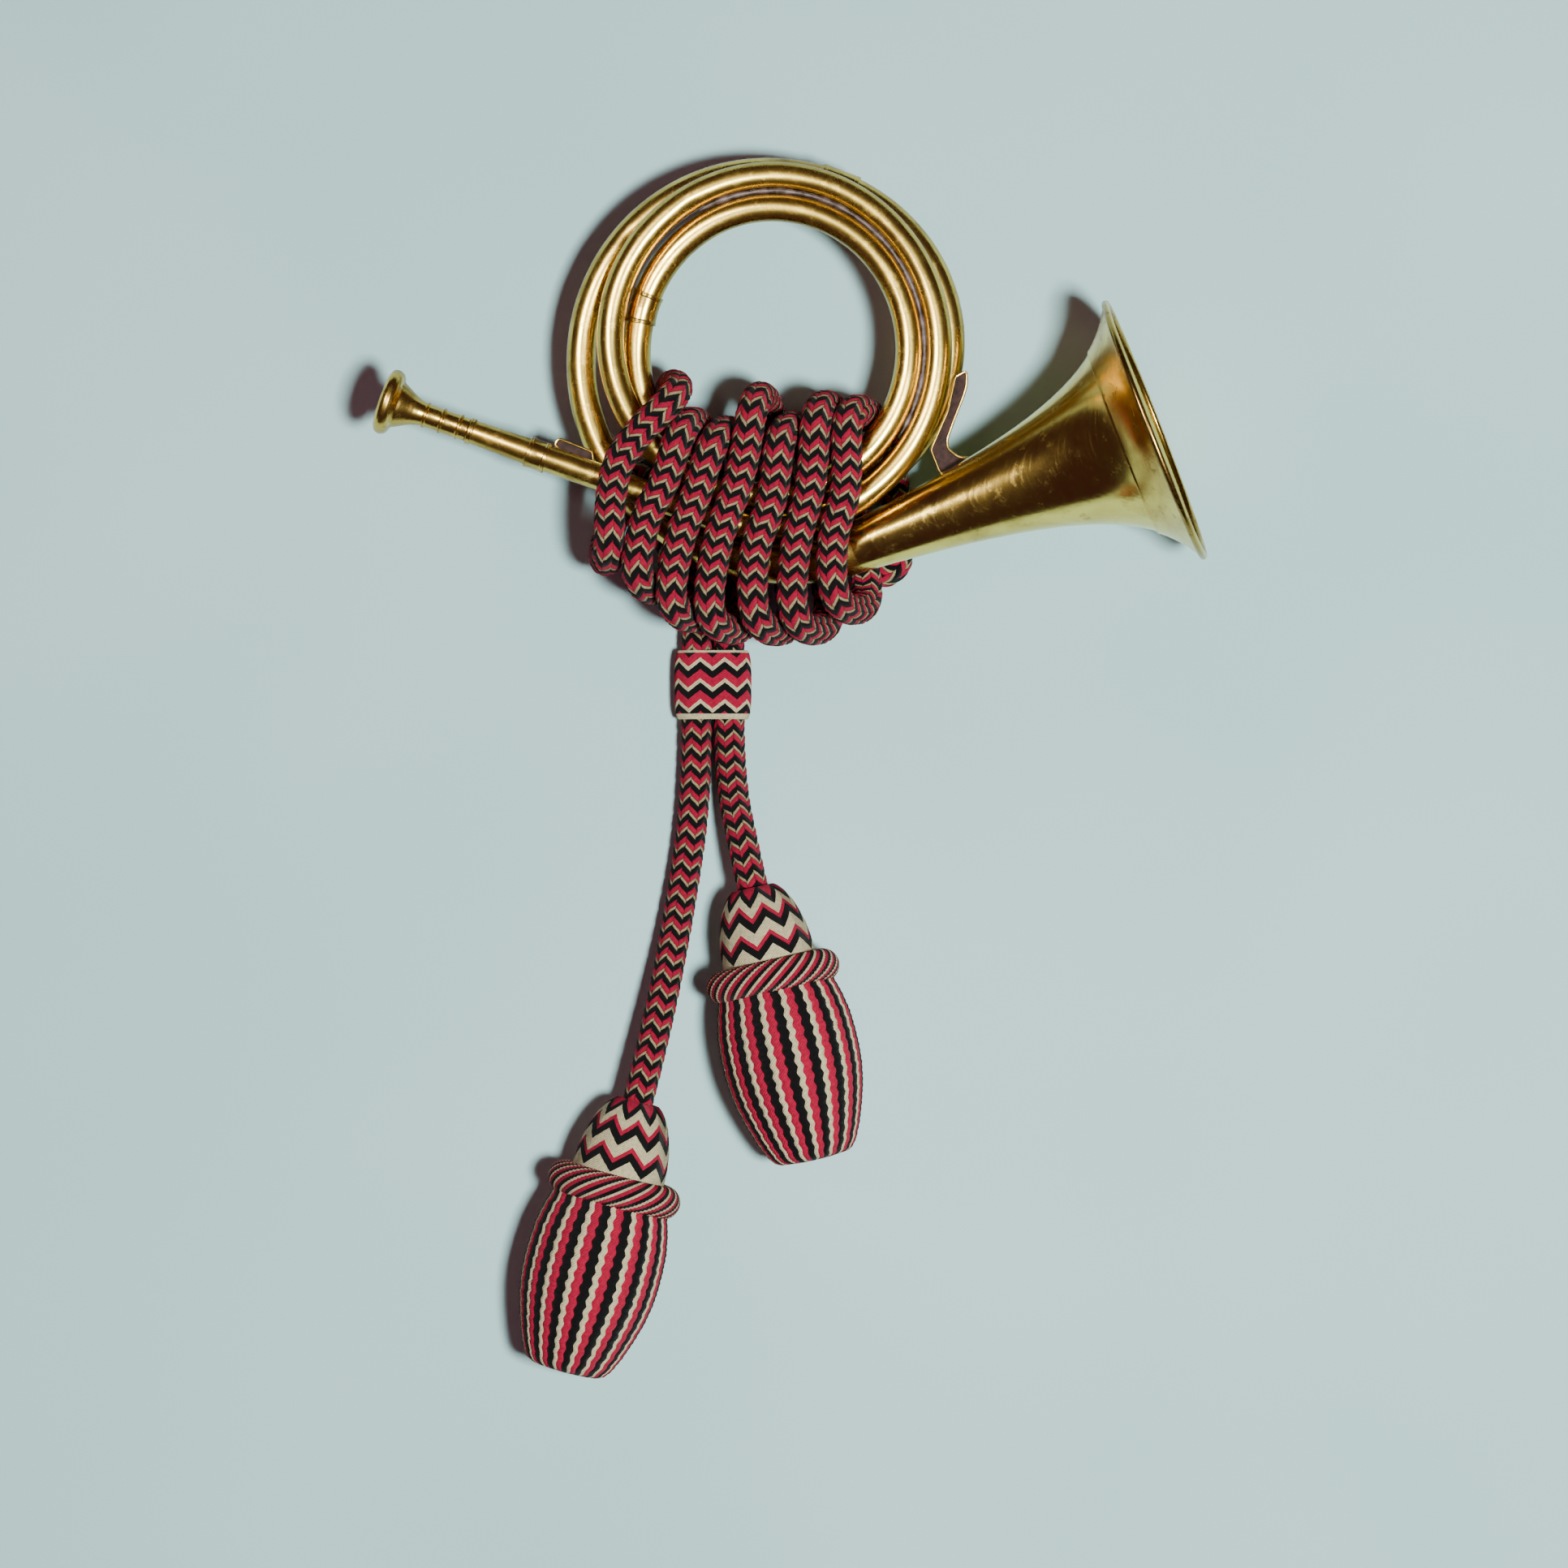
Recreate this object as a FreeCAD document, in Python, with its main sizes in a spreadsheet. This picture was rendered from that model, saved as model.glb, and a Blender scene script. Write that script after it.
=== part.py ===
import FreeCAD, Part
import math
import os
import Sketcher

# Post horn lying on its side: a brass tube coiled three times, its mouthpiece at the left and
# its bell at the right, with a braided cord wound round the lower coil and two tassels.
# +Z is up, +X runs from the mouthpiece to the bell and +Y is the top of the coil.
# Points are first worked out from the coil's centre, then moved to the row's origin, which is
# on the resting surface under the middle of the horn's outline.

V = FreeCAD.Vector
doc = FreeCAD.newDocument("post_horn")
sheet = doc.addObject("Spreadsheet::Sheet", "sizes")

# Driving dimensions in millimetres and degrees
SIZES = {
    "Coil": {
        "origin_x": (8.15, "row origin, to the right of the coil's centre"),
        "origin_y": (-9.11, "row origin, above the coil's centre"),
        "front_height": (47.0, "axis of the front layer of turns above the surface"),
        "back_height": (34.0, "axis of the back layer of turns"),
        "lead_distance": (74.2, "leadpipe axis from the coil's centre"),
        "lead_angle": (-19.7, "direction of the leadpipe, from +X"),
        "tube_radius": (5.5, "outside radius of the tube at the leadpipe"),
        "tube_growth": (0.4, "gain in that radius up to the outer ferrule"),
        "tube_wall": (0.5, "wall of the tubes"),
        "stations_per_turn": (24, "sections in one turn of a tube"),
        "tube_sides": (16, "flats round the outside of a tube"),
        "bore_sides": (8, "flats round the bore in the turns"),
        "inner_joint": (522.8, "angle of the joint on the inner turn"),
        "outer_joint": (787.6, "angle of the joint on the outer turn"),
        "inner_ferrule_length": (13.0, "sleeve on the inner turn"),
        "outer_ferrule_length": (15.0, "sleeve on the outer turn"),
        "ferrule_wall": (0.5, "wall of the ferrules"),
        "fit": (0.05, "clearance of a sleeve on its tube and of the shank in its socket"),
    },
    "Bell": {
        "bell_x": (156.6, "middle of the bell's mouth, right of the coil's centre"),
        "bell_y": (-35.2, "the same, above the coil's centre"),
        "bell_angle": (21.2, "direction of the bell, from +X"),
        "bell_pitch": (7.7, "climb of the bell's axis towards its mouth"),
        "bell_length": (132.0, "from the mouth to the joint with the bow"),
        "bell_mouth_radius": (55.4, "outside radius at the mouth"),
        "bell_throat_radius": (10.4, "outside radius at the joint"),
        "bell_reach": (14.0, "depth at which the flare has opened"),
        "bell_power": (0.30, "how fast the flare closes with depth"),
        "bell_wall": (0.5, "sheet of the bell"),
        "bell_sides": (36, "flats round the bell"),
        "bell_edge": (0.9, "depth at which the sheet meets the rolled rim"),
        "garland_edge": (1.35, "depth at which the band meets the rolled rim"),
        "garland_length": (13.5, "depth to which the band round the mouth reaches"),
        "garland_wall": (0.6, "sheet of that band"),
        "rim_wire_radius": (1.5, "half the thickness of the rolled rim"),
        "rim_wire_inset": (0.5, "middle of the rolled rim inside the mouth's outside"),
    },
    "Mouthpiece": {
        "rim_x": (-158.7, "middle of the mouthpiece's rim, right of the coil's centre"),
        "rim_radius": (13.85, "outside of the rim"),
        "rim_length": (6.3, "thickness of the rim"),
        "cup_radius": (8.3, "mouth of the cup"),
        "cup_depth": (12.0, "cup, down to the throat"),
        "throat_radius": (1.9, "throat of the mouthpiece"),
        "stem_radius": (4.75, "outside of the stem"),
        "stem_length": (37.1, "rim to the shoulder at the receiver"),
        "shank_length": (22.0, "part of the stem inside the receiver"),
        "shank_radius": (4.1, "shank at the shoulder"),
        "shank_tip_radius": (3.85, "shank at its tip"),
        "backbore_radius": (3.2, "bore at the shank's tip"),
        "bead_height": (0.6, "turned rings above the stem"),
        "receiver_gap": (0.3, "shoulder of the stem to the receiver"),
    },
    "Mouthpipe": {
        "receiver_radius": (4.85, "outside of the mouthpipe at the receiver"),
        "receiver_ring_radius": (5.5, "outside of the receiver's rings"),
        "receiver_ring_length": (2.2, "both rings together"),
        "mouthpipe_length": (30.0, "receiver to the joint with the leadpipe"),
        "sleeve_length": (8.6, "sleeve over that joint"),
        "sleeve_bead": (0.4, "raised edge of the sleeve"),
    },
    "Stays": {
        "stay_thickness": (1.2, "sheet of both stays"),
        "stay_height": (38.6, "underside of the bell's stay"),
        "lead_stay_height": (39.4, "underside of the leadpipe's stay"),
        "stay_clearance": (0.1, "solder gap round the stays"),
    },
    "Cord": {
        "cord_diameter": (13.0, "braided cord"),
        "cord_sides": (6, "sides of the faceted cord"),
        "cord_spacing": (13.6, "distance of the two cords in the slider"),
        "exit_x": (-24.0, "middle of the two cords below the winding"),
        "exit_y": (-122.4, "end of the winding"),
        "exit_height": (8.9, "axis of both cords in the slider"),
        "exit_straight": (13.2, "straight end of the winding"),
        "over_height": (59.8, "strands over the coil"),
        "under_height": (20.3, "strands under the coil"),
        "floor_height": (6.6, "strands on the surface"),
    },
    "Slider": {
        "slider_length": (28.7, "along the cords"),
        "slider_width": (32.0, "across both cords"),
        "slider_thickness": (17.8, "across one cord"),
        "slider_y": (-138.0, "middle of the slider"),
        "slider_play": (0.1, "gap round each cord"),
    },
    "Tassels": {
        "tassel_sides": (20, "flats round a tassel"),
        "tassel_length": (115.0, "top of the head to the bottom of the body"),
        "tassel_pitch": (2.2, "how far the head end hangs down"),
        "head_top_radius": (10.0, "head where the cord enters"),
        "head_base_radius": (19.0, "head at the ring"),
                "ring_centre": (37.5, "middle of the twisted ring from the top"),
        "ring_radius": (21.2, "middle of the ring's rope from the axis"),
        "ring_rope_radius": (6.2, "half the ring's rope"),
        "body_top_radius": (24.0, "body under the ring"),
        "body_radius": (28.75, "widest part of the body"),
        "body_widest": (72.0, "place of the widest part from the top"),
        "body_bottom_radius": (16.5, "body at its bottom"),
        "cover_wall": (1.6, "woven cover over the core"),
        "socket_depth": (14.0, "cord inside the head"),
        "rest_flat": (0.5, "how far the tassel is pressed flat where it lies"),
        "left_x": (-54.7, "top of the left tassel, right of the coil's centre"),
        "left_y": (-310.7, "the same, above the coil's centre"),
        "left_angle": (-105.2, "direction of the left tassel, from +X"),
        "right_x": (-7.3, "top of the right tassel"),
        "right_y": (-222.3, "the same, above the coil's centre"),
        "right_angle": (-77.1, "direction of the right tassel, from +X"),
    },
}

row = 1
for group, entries in SIZES.items():
    sheet.set("A%d" % row, group)
    row += 1
    for name, (number, note) in entries.items():
        sheet.set("A%d" % row, name)
        sheet.set("B%d" % row, str(number))
        sheet.setAlias("B%d" % row, name)
        sheet.set("C%d" % row, note)
        row += 1
doc.recompute()


def size(name):
    return float(sheet.get(name))


def unit(degrees, climb=0.0):
    """The direction at an angle from +X, and at a climb above the surface."""
    a = math.radians(degrees)
    c = math.radians(climb)
    return V(math.cos(a) * math.cos(c), math.sin(a) * math.cos(c), math.sin(c))


ROW_ORIGIN = V(size("origin_x"), size("origin_y"), 0)
NODES = []


def frame_at(position, direction):
    """A frame with its Z along a direction and its X level, so that flats round it line up."""
    if direction.cross(V(0, 0, 1)).Length < 1e-9:
        return FreeCAD.Placement(position, FreeCAD.Rotation())
    level = direction.cross(V(0, 0, 1)).normalize()
    return FreeCAD.Placement(position, FreeCAD.Rotation(level, V(0, 0, 0), direction, "ZXY"))


def place(thing, position=V(0, 0, 0), direction=V(0, 0, 1)):
    """Puts a sub-part's own Z along a direction, at a position given from the coil's centre."""
    thing.Placement = frame_at(position - ROW_ORIGIN, direction)


def keep(thing, label):
    thing.Label = label
    NODES.append(thing)
    return thing


def shaped(label, shape):
    """A sub-part whose form follows a formula, as a feature in the coil's frame."""
    thing = doc.addObject("Part::Feature", label)
    thing.Shape = shape
    place(thing)
    return thing


def plane_of(body, role):
    return next(f for f in body.Origin.OriginFeatures if f.Role == role)


def new_sketch(body, name, role="XZ_Plane"):
    sketch = body.newObject("Sketcher::SketchObject", name)
    sketch.AttachmentSupport = [(plane_of(body, role), "")]
    sketch.MapMode = "FlatFace"
    return sketch


def pin(sketch, name, geo, point, x, y):
    """Ties a sketch point to two expressions on the sheet."""
    for axis, kind, text in ((-2, "DistanceX", x), (-1, "DistanceY", y)):
        if text == "0":
            sketch.addConstraint(Sketcher.Constraint("PointOnObject", geo, point, axis))
            continue
        number = sketch.evalExpression(text)
        number = float(getattr(number, "Value", number))
        row_number = sketch.addConstraint(
            Sketcher.Constraint(kind, -1, 1, geo, point, number))
        title = "%s_%s" % (name, kind[-1])
        sketch.renameConstraint(row_number, title)
        sketch.setExpression("Constraints." + title, text)


def outline(sketch, corners):
    """Draws a closed outline of straight sides. Corners are pairs of expressions on the sheet."""
    def number(text):
        found = sketch.evalExpression(text)
        return float(getattr(found, "Value", found))

    spots = [V(number(across), number(along), 0) for across, along in corners]
    sides = [sketch.addGeometry(Part.LineSegment(start, end), False)
             for start, end in zip(spots, spots[1:] + spots[:1])]
    for i, side in enumerate(sides):
        following = sides[(i + 1) % len(sides)]
        sketch.addConstraint(Sketcher.Constraint("Coincident", side, 2, following, 1))
        pin(sketch, "corner%d" % i, side, 1, corners[i][0], corners[i][1])


def turned(label, corners, sides):
    """A turned piece: its half section, radius across and length along its own Z, is a bound
    sketch, carried round in equal steps, which leaves flats in place of a round skin."""
    sketch = doc.addObject("Sketcher::SketchObject", label + "_section")
    outline(sketch, corners)
    doc.recompute()
    section = [sketch.Geometry[i].StartPoint for i in range(len(corners))]
    return shaped(label, carried_round(section, int(size(sides))))


def carried_round(section, sides):
    rings = []
    for point in section:
        ring = []
        for k in range(sides):
            a = 2 * math.pi * k / sides
            ring.append(V(point.x * math.cos(a), point.x * math.sin(a), point.y))
        rings.append(ring)
    faces = []
    for lower, upper in zip(rings, rings[1:] + rings[:1]):
        for k in range(sides):
            following = (k + 1) % sides
            corners = []
            for corner in (lower[k], lower[following], upper[following], upper[k]):
                if not corners or (corner - corners[-1]).Length > 1e-6:
                    corners.append(corner)
            if (corners[0] - corners[-1]).Length < 1e-6:
                corners.pop()
            if len(corners) > 2:
                faces.append(Part.Face(Part.makePolygon(corners + corners[:1])))
    solid = Part.Solid(Part.Shell(faces))
    if solid.Volume < 0:
        solid.reverse()
    return solid


# The horn's centre line, from the leadpipe round three turns to the bell
LEAD = unit(size("lead_angle"))
LEAD_ACROSS = unit(size("lead_angle") - 90)
LEAD_FOOT = LEAD_ACROSS * size("lead_distance") + V(0, 0, size("front_height"))
RIM_ALONG = (size("rim_x") - LEAD_FOOT.x) / LEAD.x
MOUTHPIECE_RIM = LEAD_FOOT + LEAD * RIM_ALONG
BELL_AXIS = unit(size("bell_angle"), size("bell_pitch"))
BELL_EDGE = size("bell_mouth_radius") - size("rim_wire_inset") + size("rim_wire_radius")
BELL_HEIGHT = BELL_EDGE * math.cos(math.radians(size("bell_pitch")))
BELL_MOUTH = V(size("bell_x"), size("bell_y"), BELL_HEIGHT)
BELL_JOINT = BELL_MOUTH - BELL_AXIS * size("bell_length")

FRONT = size("front_height")
BACK = size("back_height")
LEAD_TURN = size("lead_angle") - 90
BELL_TURN = math.degrees(math.atan2(BELL_JOINT.y, BELL_JOINT.x)) + 3 * 360
BELL_RADIUS = math.hypot(BELL_JOINT.x, BELL_JOINT.y)

# The turns as (angle, radius, height): the first is the middle one in the photographed view,
# the second is the inner one, which dips under the first, and the third lies at the back.
TURNS = [
    (LEAD_TURN, size("lead_distance"), FRONT),
    (0, 69.0, FRONT),
    (90, 69.7, FRONT),
    (180, 65.3, FRONT),
    (270, 61.0, FRONT),
    (360, 57.0, FRONT),
    (450, 56.7, FRONT - 0.5),
    (540, 54.8, FRONT - 8.3),
    (630, 64.0, BACK),
    (720, 74.3, BACK),
    (810, 72.7, BACK),
    (900, 77.7, BACK),
    (990, 88.2, BACK + 1.5),
    (BELL_TURN, BELL_RADIUS, BELL_JOINT.z),
]


def along_turns(angle):
    """Radius and height of the centre line at an angle, smooth through the stations."""
    last = len(TURNS) - 1
    k = max(i for i in range(last) if TURNS[i][0] <= angle or i == 0)
    a, b = TURNS[k], TURNS[k + 1]
    span = b[0] - a[0]
    t = (angle - a[0]) / span
    found = []
    for item in (1, 2):
        slopes = []
        for j in (k, k + 1):
            if j == 0:
                slopes.append(0.0)
            elif j == last:
                rise = math.degrees(0.0)
                if item == 2:
                    rise = math.tan(math.radians(size("bell_pitch"))) * math.radians(BELL_RADIUS)
                slopes.append(rise)
            else:
                before, after = TURNS[j - 1], TURNS[j + 1]
                slopes.append((after[item] - before[item]) / (after[0] - before[0]))
        found.append(
            a[item] * (2 * t ** 3 - 3 * t ** 2 + 1)
            + b[item] * (3 * t ** 2 - 2 * t ** 3)
            + span * slopes[0] * (t ** 3 - 2 * t ** 2 + t)
            + span * slopes[1] * (t ** 3 - t ** 2))
    return found


def coil_point(angle):
    radius, height = along_turns(angle)
    return unit(angle) * radius + V(0, 0, height)


def coil_tangent(angle):
    if angle <= LEAD_TURN:
        return LEAD
    if angle >= BELL_TURN:
        return BELL_AXIS
    step = 0.05
    return (coil_point(angle + step) - coil_point(angle - step)).normalize()


def tube_radius(angle):
    """The tube widens slightly up to the outer ferrule, and the bow more and more after it."""
    start = size("tube_radius")
    share = (angle - LEAD_TURN) / (size("outer_joint") - LEAD_TURN)
    if share <= 1:
        return start + size("tube_growth") * share
    widest = size("bell_throat_radius")
    end = start + size("tube_growth")
    bow = (angle - size("outer_joint")) / (BELL_TURN - size("outer_joint"))
    return end + (widest - end) * bow ** 5


def ring_at(centre, direction, radius, sides):
    """A regular outline with that many sides, square to a direction, with a level corner."""
    frame = frame_at(centre, direction)
    corners = []
    for k in range(sides + 1):
        a = 2 * math.pi * (k % sides) / sides
        corners.append(frame.multVec(V(radius * math.cos(a), radius * math.sin(a), 0)))
    return Part.makePolygon(corners)


def stations(first, last, joint_half_first=0.0, joint_half_last=0.0):
    """Angles of the sections of one branch, with one at each edge of the ferrules at its ends."""
    inner_first = first + joint_half_first
    inner_last = last - joint_half_last
    count = max(1, round((inner_last - inner_first) * size("stations_per_turn") / 360))
    angles = [inner_first + (inner_last - inner_first) * i / count for i in range(count + 1)]
    if joint_half_first:
        angles.insert(0, first)
    if joint_half_last:
        angles.append(last)
    return angles


def branch(angles, gain=0.0, lead_start=None, flats="tube_sides"):
    """A solid through outlines along the turns. gain is added to the tube's radius."""
    sides = int(size(flats))
    rings = []
    if lead_start is not None:
        rings.append(ring_at(lead_start, LEAD, tube_radius(LEAD_TURN) + gain, sides))
    for angle in angles:
        rings.append(ring_at(coil_point(angle), coil_tangent(angle), tube_radius(angle) + gain, sides))
    return Part.makeLoft(rings, True, True)


def hollow(angles, lead_start=None):
    outside = branch(angles, 0.0, lead_start)
    bore = branch(angles, -size("tube_wall") - 0.1, lead_start, "bore_sides")
    return outside.cut(bore)


def half_angle(length, angle):
    return math.degrees(length / 2 / along_turns(angle)[0])


INNER = size("inner_joint")
OUTER = size("outer_joint")
INNER_HALF = half_angle(size("inner_ferrule_length"), INNER)
OUTER_HALF = half_angle(size("outer_ferrule_length"), OUTER)
MOUTHPIPE_START = MOUTHPIECE_RIM + LEAD * (size("stem_length") + size("receiver_gap"))
LEAD_JOINT = MOUTHPIPE_START + LEAD * size("mouthpipe_length")


def tube_parts():
    first_angles = stations(LEAD_TURN, INNER, 0.0, INNER_HALF)
    keep(shaped("first_branch", hollow(first_angles, LEAD_JOINT)), "first_branch")
    second_angles = stations(INNER, OUTER, INNER_HALF, OUTER_HALF)
    keep(shaped("second_branch", hollow(second_angles)), "second_branch")
    bow_angles = stations(OUTER, BELL_TURN, OUTER_HALF, 0.0)
    keep(shaped("bell_branch", hollow(bow_angles)), "bell_branch")


def ferrule_parts():
    """The sleeves share their sections with the tubes, so they seat on them all along."""
    for label, joint, half in (("inner_ferrule", INNER, INNER_HALF),
                               ("outer_ferrule", OUTER, OUTER_HALF)):
        angles = [joint - half, joint, joint + half]
        outside = branch(angles, size("fit") + size("ferrule_wall"))
        inside = branch(angles, size("fit"))
        keep(shaped(label, outside.cut(inside)), label)


# The mouthpiece and what holds it, all turned about the leadpipe's axis
def mouthpiece():
    s = "sizes."
    stem = s + "stem_radius"
    bead = stem + " + sizes.bead_height"
    rim, deep = s + "rim_radius", s + "rim_length"
    end = s + "stem_length"
    tip = "sizes.stem_length + sizes.shank_length"
    corners = [
        (s + "cup_radius", "0"),
        (rim + " - 1.7", "0"),
        (rim + " - 0.5", "0.8"),
        (rim, "2.5"),
        (rim + " - 0.5", deep + " - 1.4"),
        (rim + " - 2.2", deep),
        (stem + " + 4.6", deep),
        (stem + " + 4.1", deep + " + 1.7"),
        (stem + " + 2.1", deep + " + 5.2"),
        (stem + " + 0.7", deep + " + 8.6"),
        (stem, "17.8"),
    ]
    for at in ("18.4", "25.2", "32.6"):
        corners += [(stem, at), (bead, at + " + 0.3"), (bead, at + " + 1.1"), (stem, at + " + 1.4")]
    corners += [
        (stem, end),
        (s + "shank_radius", end),
        (s + "shank_tip_radius", tip),
        (s + "backbore_radius", tip),
        (s + "throat_radius", s + "cup_depth + 4"),
        (s + "throat_radius", s + "cup_depth"),
        (s + "cup_radius * 0.55", s + "cup_depth * 0.88"),
        (s + "cup_radius * 0.82", s + "cup_depth * 0.6"),
        (s + "cup_radius * 0.95", s + "cup_depth * 0.3"),
    ]
    body = turned("mouthpiece", corners, "tube_sides")
    place(body, MOUTHPIECE_RIM, LEAD)
    return keep(body, "mouthpiece")


def mouthpipe_parts():
    length = "sizes.mouthpipe_length"
    socket = "sizes.shank_length - sizes.receiver_gap + 1"
    body = turned("mouthpipe", [
        ("sizes.shank_radius + sizes.fit", "0"),
        ("sizes.receiver_radius", "0"),
        ("sizes.tube_radius", length + " - 4"),
        ("sizes.tube_radius", length),
        ("sizes.tube_radius - sizes.tube_wall", length),
        ("sizes.shank_radius", socket + " + 2"),
        ("sizes.shank_tip_radius + sizes.fit", socket),
    ], "tube_sides")
    place(body, MOUTHPIPE_START, LEAD)
    keep(body, "mouthpipe")

    ring = "sizes.receiver_ring_length"
    slope = "(sizes.tube_radius - sizes.receiver_radius) / (sizes.mouthpipe_length - 4)"
    inside = "sizes.receiver_radius + sizes.fit"
    crest = "sizes.receiver_ring_radius"
    body = turned("receiver_ring", [
        (inside, "0"),
        (crest, "0"),
        (crest, ring + " * 0.4"),
        (crest + " - 0.3", ring + " * 0.5"),
        (crest, ring + " * 0.6"),
        (crest, ring),
        (inside + " + " + ring + " * " + slope, ring),
    ], "tube_sides")
    place(body, MOUTHPIPE_START, LEAD)
    keep(body, "receiver_ring")

    half = "sizes.sleeve_length / 2"
    inside = "sizes.tube_radius + sizes.fit"
    wall = inside + " + sizes.ferrule_wall"
    raised = wall + " + sizes.sleeve_bead"
    body = turned("mouthpipe_ferrule", [
        (inside, "-" + half),
        (raised, "-" + half),
        (raised, "-" + half + " + 1"),
        (wall, "-" + half + " + 1.3"),
        (wall, half + " - 1.3"),
        (raised, half + " - 1"),
        (raised, half),
        (inside, half),
    ], "tube_sides")
    place(body, LEAD_JOINT, LEAD)
    keep(body, "mouthpipe_ferrule")


# The bell: its radius falls with the depth from the mouth by a power law, as on old horns
FLARE = "(sizes.bell_reach / (sizes.bell_reach + %s)) ^ sizes.bell_power"
BELL_DEPTHS = ["0.012 * sizes.bell_length", "0.03 * sizes.bell_length", "0.06 * sizes.bell_length",
               "sizes.garland_length", "0.19 * sizes.bell_length", "0.31 * sizes.bell_length",
               "0.48 * sizes.bell_length", "0.72 * sizes.bell_length"]
FLARE_GAIN = "(sizes.bell_mouth_radius - sizes.bell_throat_radius) / (1 - %s)" % (FLARE % "sizes.bell_length")


def flare(depth):
    """Outside radius of the bell at a depth, as an expression."""
    last = FLARE % "sizes.bell_length"
    return "sizes.bell_throat_radius + %s * (%s - %s)" % (FLARE_GAIN, FLARE % depth, last)


def across_sheet(depth, thickness):
    """What a sheet of a thickness measures along the radius, where the bell slopes."""
    slope = "(%s * sizes.bell_power / sizes.bell_reach" % FLARE_GAIN
    slope += " * (sizes.bell_reach / (sizes.bell_reach + %s)) ^ (sizes.bell_power + 1))" % depth
    return "%s * sqrt(1 + %s ^ 2)" % (thickness, slope)


def skin(start, end, gap="0", sheet_thickness="0"):
    """Corners of one skin of the bell from one depth to another, its own Z towards the mouth.
    It lies a gap and a sheet's thickness outside the bell's outside."""
    def number(text):
        found = sheet.evalExpression(text)
        return float(getattr(found, "Value", found))

    between = [d for d in BELL_DEPTHS if number(start) + 0.3 < number(d) < number(end) - 0.3]
    corners = []
    for depth in [start] + between + [end]:
        depth = "(%s)" % depth
        radius = "%s + %s + %s" % (flare(depth), gap, across_sheet(depth, sheet_thickness))
        corners.append((radius, "0" if depth == "(0)" else "-" + depth))
    return corners


def bell_parts():
    edge, length = "sizes.bell_edge", "sizes.bell_length"
    inside = skin(edge, length, "0", "(0 - sizes.bell_wall)")
    bell = turned("bell", skin(edge, length) + inside[::-1], "bell_sides")
    place(bell, BELL_MOUTH, BELL_AXIS)
    keep(bell, "bell")

    edge, band = "sizes.garland_edge", "sizes.garland_length"
    outside = skin(edge, band, "sizes.fit", "sizes.garland_wall")
    garland = turned("garland", skin(edge, band, "sizes.fit") + outside[::-1], "bell_sides")
    place(garland, BELL_MOUTH, BELL_AXIS)
    keep(garland, "garland")

    wire = "sizes.rim_wire_radius"
    corners = []
    for across, along in ((1, 0), (0.5, 0.87), (-0.5, 0.87), (-1, 0), (-0.5, -0.87), (0.5, -0.87)):
        height = "%s * %s" % (along, wire) if along else "0"
        middle = "sizes.bell_mouth_radius - sizes.rim_wire_inset"
        corners.append(("%s + %s * %s" % (middle, across, wire), height))
    ring = turned("rim_wire", corners, "bell_sides")
    place(ring, BELL_MOUTH, BELL_AXIS)
    keep(ring, "rim_wire")


# The stays: flat gusset plates, soldered between the tubes
def plate(label, corners):
    body = doc.addObject("PartDesign::Body", label + "_blank")
    sketch = new_sketch(body, label + "_outline", "XY_Plane")
    outline(sketch, corners)
    pad = body.newObject("PartDesign::Pad", label + "_sheet")
    pad.Profile = sketch
    pad.setExpression("Length", "sizes.stay_thickness")
    sketch.Visibility = False
    doc.recompute()
    return body


def trimmed(label, blank, tool_shape, position, direction=V(0, 0, 1)):
    """A blank cut back by a tool given in the coil's frame. Both are cut in the blank's own
    frame, and the result is then placed."""
    own = frame_at(position, direction)
    blank.Placement = FreeCAD.Placement()
    tool = doc.addObject("Part::Feature", label + "_seat")
    tool_shape = tool_shape.copy()
    tool_shape.Placement = own.inverse().multiply(tool_shape.Placement)
    tool.Shape = tool_shape
    cut = doc.addObject("Part::Cut", label)
    cut.Base = blank
    cut.Tool = tool
    doc.recompute()
    place(cut, position, direction)
    return keep(cut, label)


def stay_parts():
    gap = size("stay_clearance")
    blank = plate("bell_stay", [
        ("76", "-12"), ("80.6", "-9.6"), ("80.8", "-15"),
        ("79.4", "-20"), ("75.4", "-30"), ("72.6", "-38"), ("73", "-41.7"), ("77.2", "-45"),
        ("82.4", "-45.6"), ("87.6", "-43"), ("90.6", "-40"), ("96.4", "-36.6"),
        ("103.6", "-32.4"), ("103", "-36"), ("70", "-52"), ("66", "-42"), ("73", "-26"),
    ])
    bow = branch(stations(OUTER, BELL_TURN, OUTER_HALF, 0.0), gap)
    outside = turned("bell_clearance", [("0", "0")] + skin("0", "sizes.bell_length", "sizes.stay_clearance")
                     + [("0", "0 - sizes.bell_length")], "bell_sides")
    flare_solid = outside.Shape.copy()
    flare_solid.Placement = frame_at(BELL_MOUTH, BELL_AXIS)
    second = branch(stations(INNER, OUTER, INNER_HALF, OUTER_HALF), gap)
    seat = bow.fuse([second, flare_solid])
    trimmed("bell_stay", blank, seat, V(0, 0, size("stay_height")))

    blank = plate("mouthpipe_stay", [
        ("-88.6", "-40"), ("-87", "-37.4"), ("-73", "-43"), ("-72", "-52"), ("-76", "-51"),
    ])
    lead = branch(stations(LEAD_TURN, INNER, 0.0, INNER_HALF), gap, LEAD_JOINT)
    trimmed("mouthpipe_stay", blank, bow.fuse(lead), V(0, 0, size("lead_stay_height")))


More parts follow.
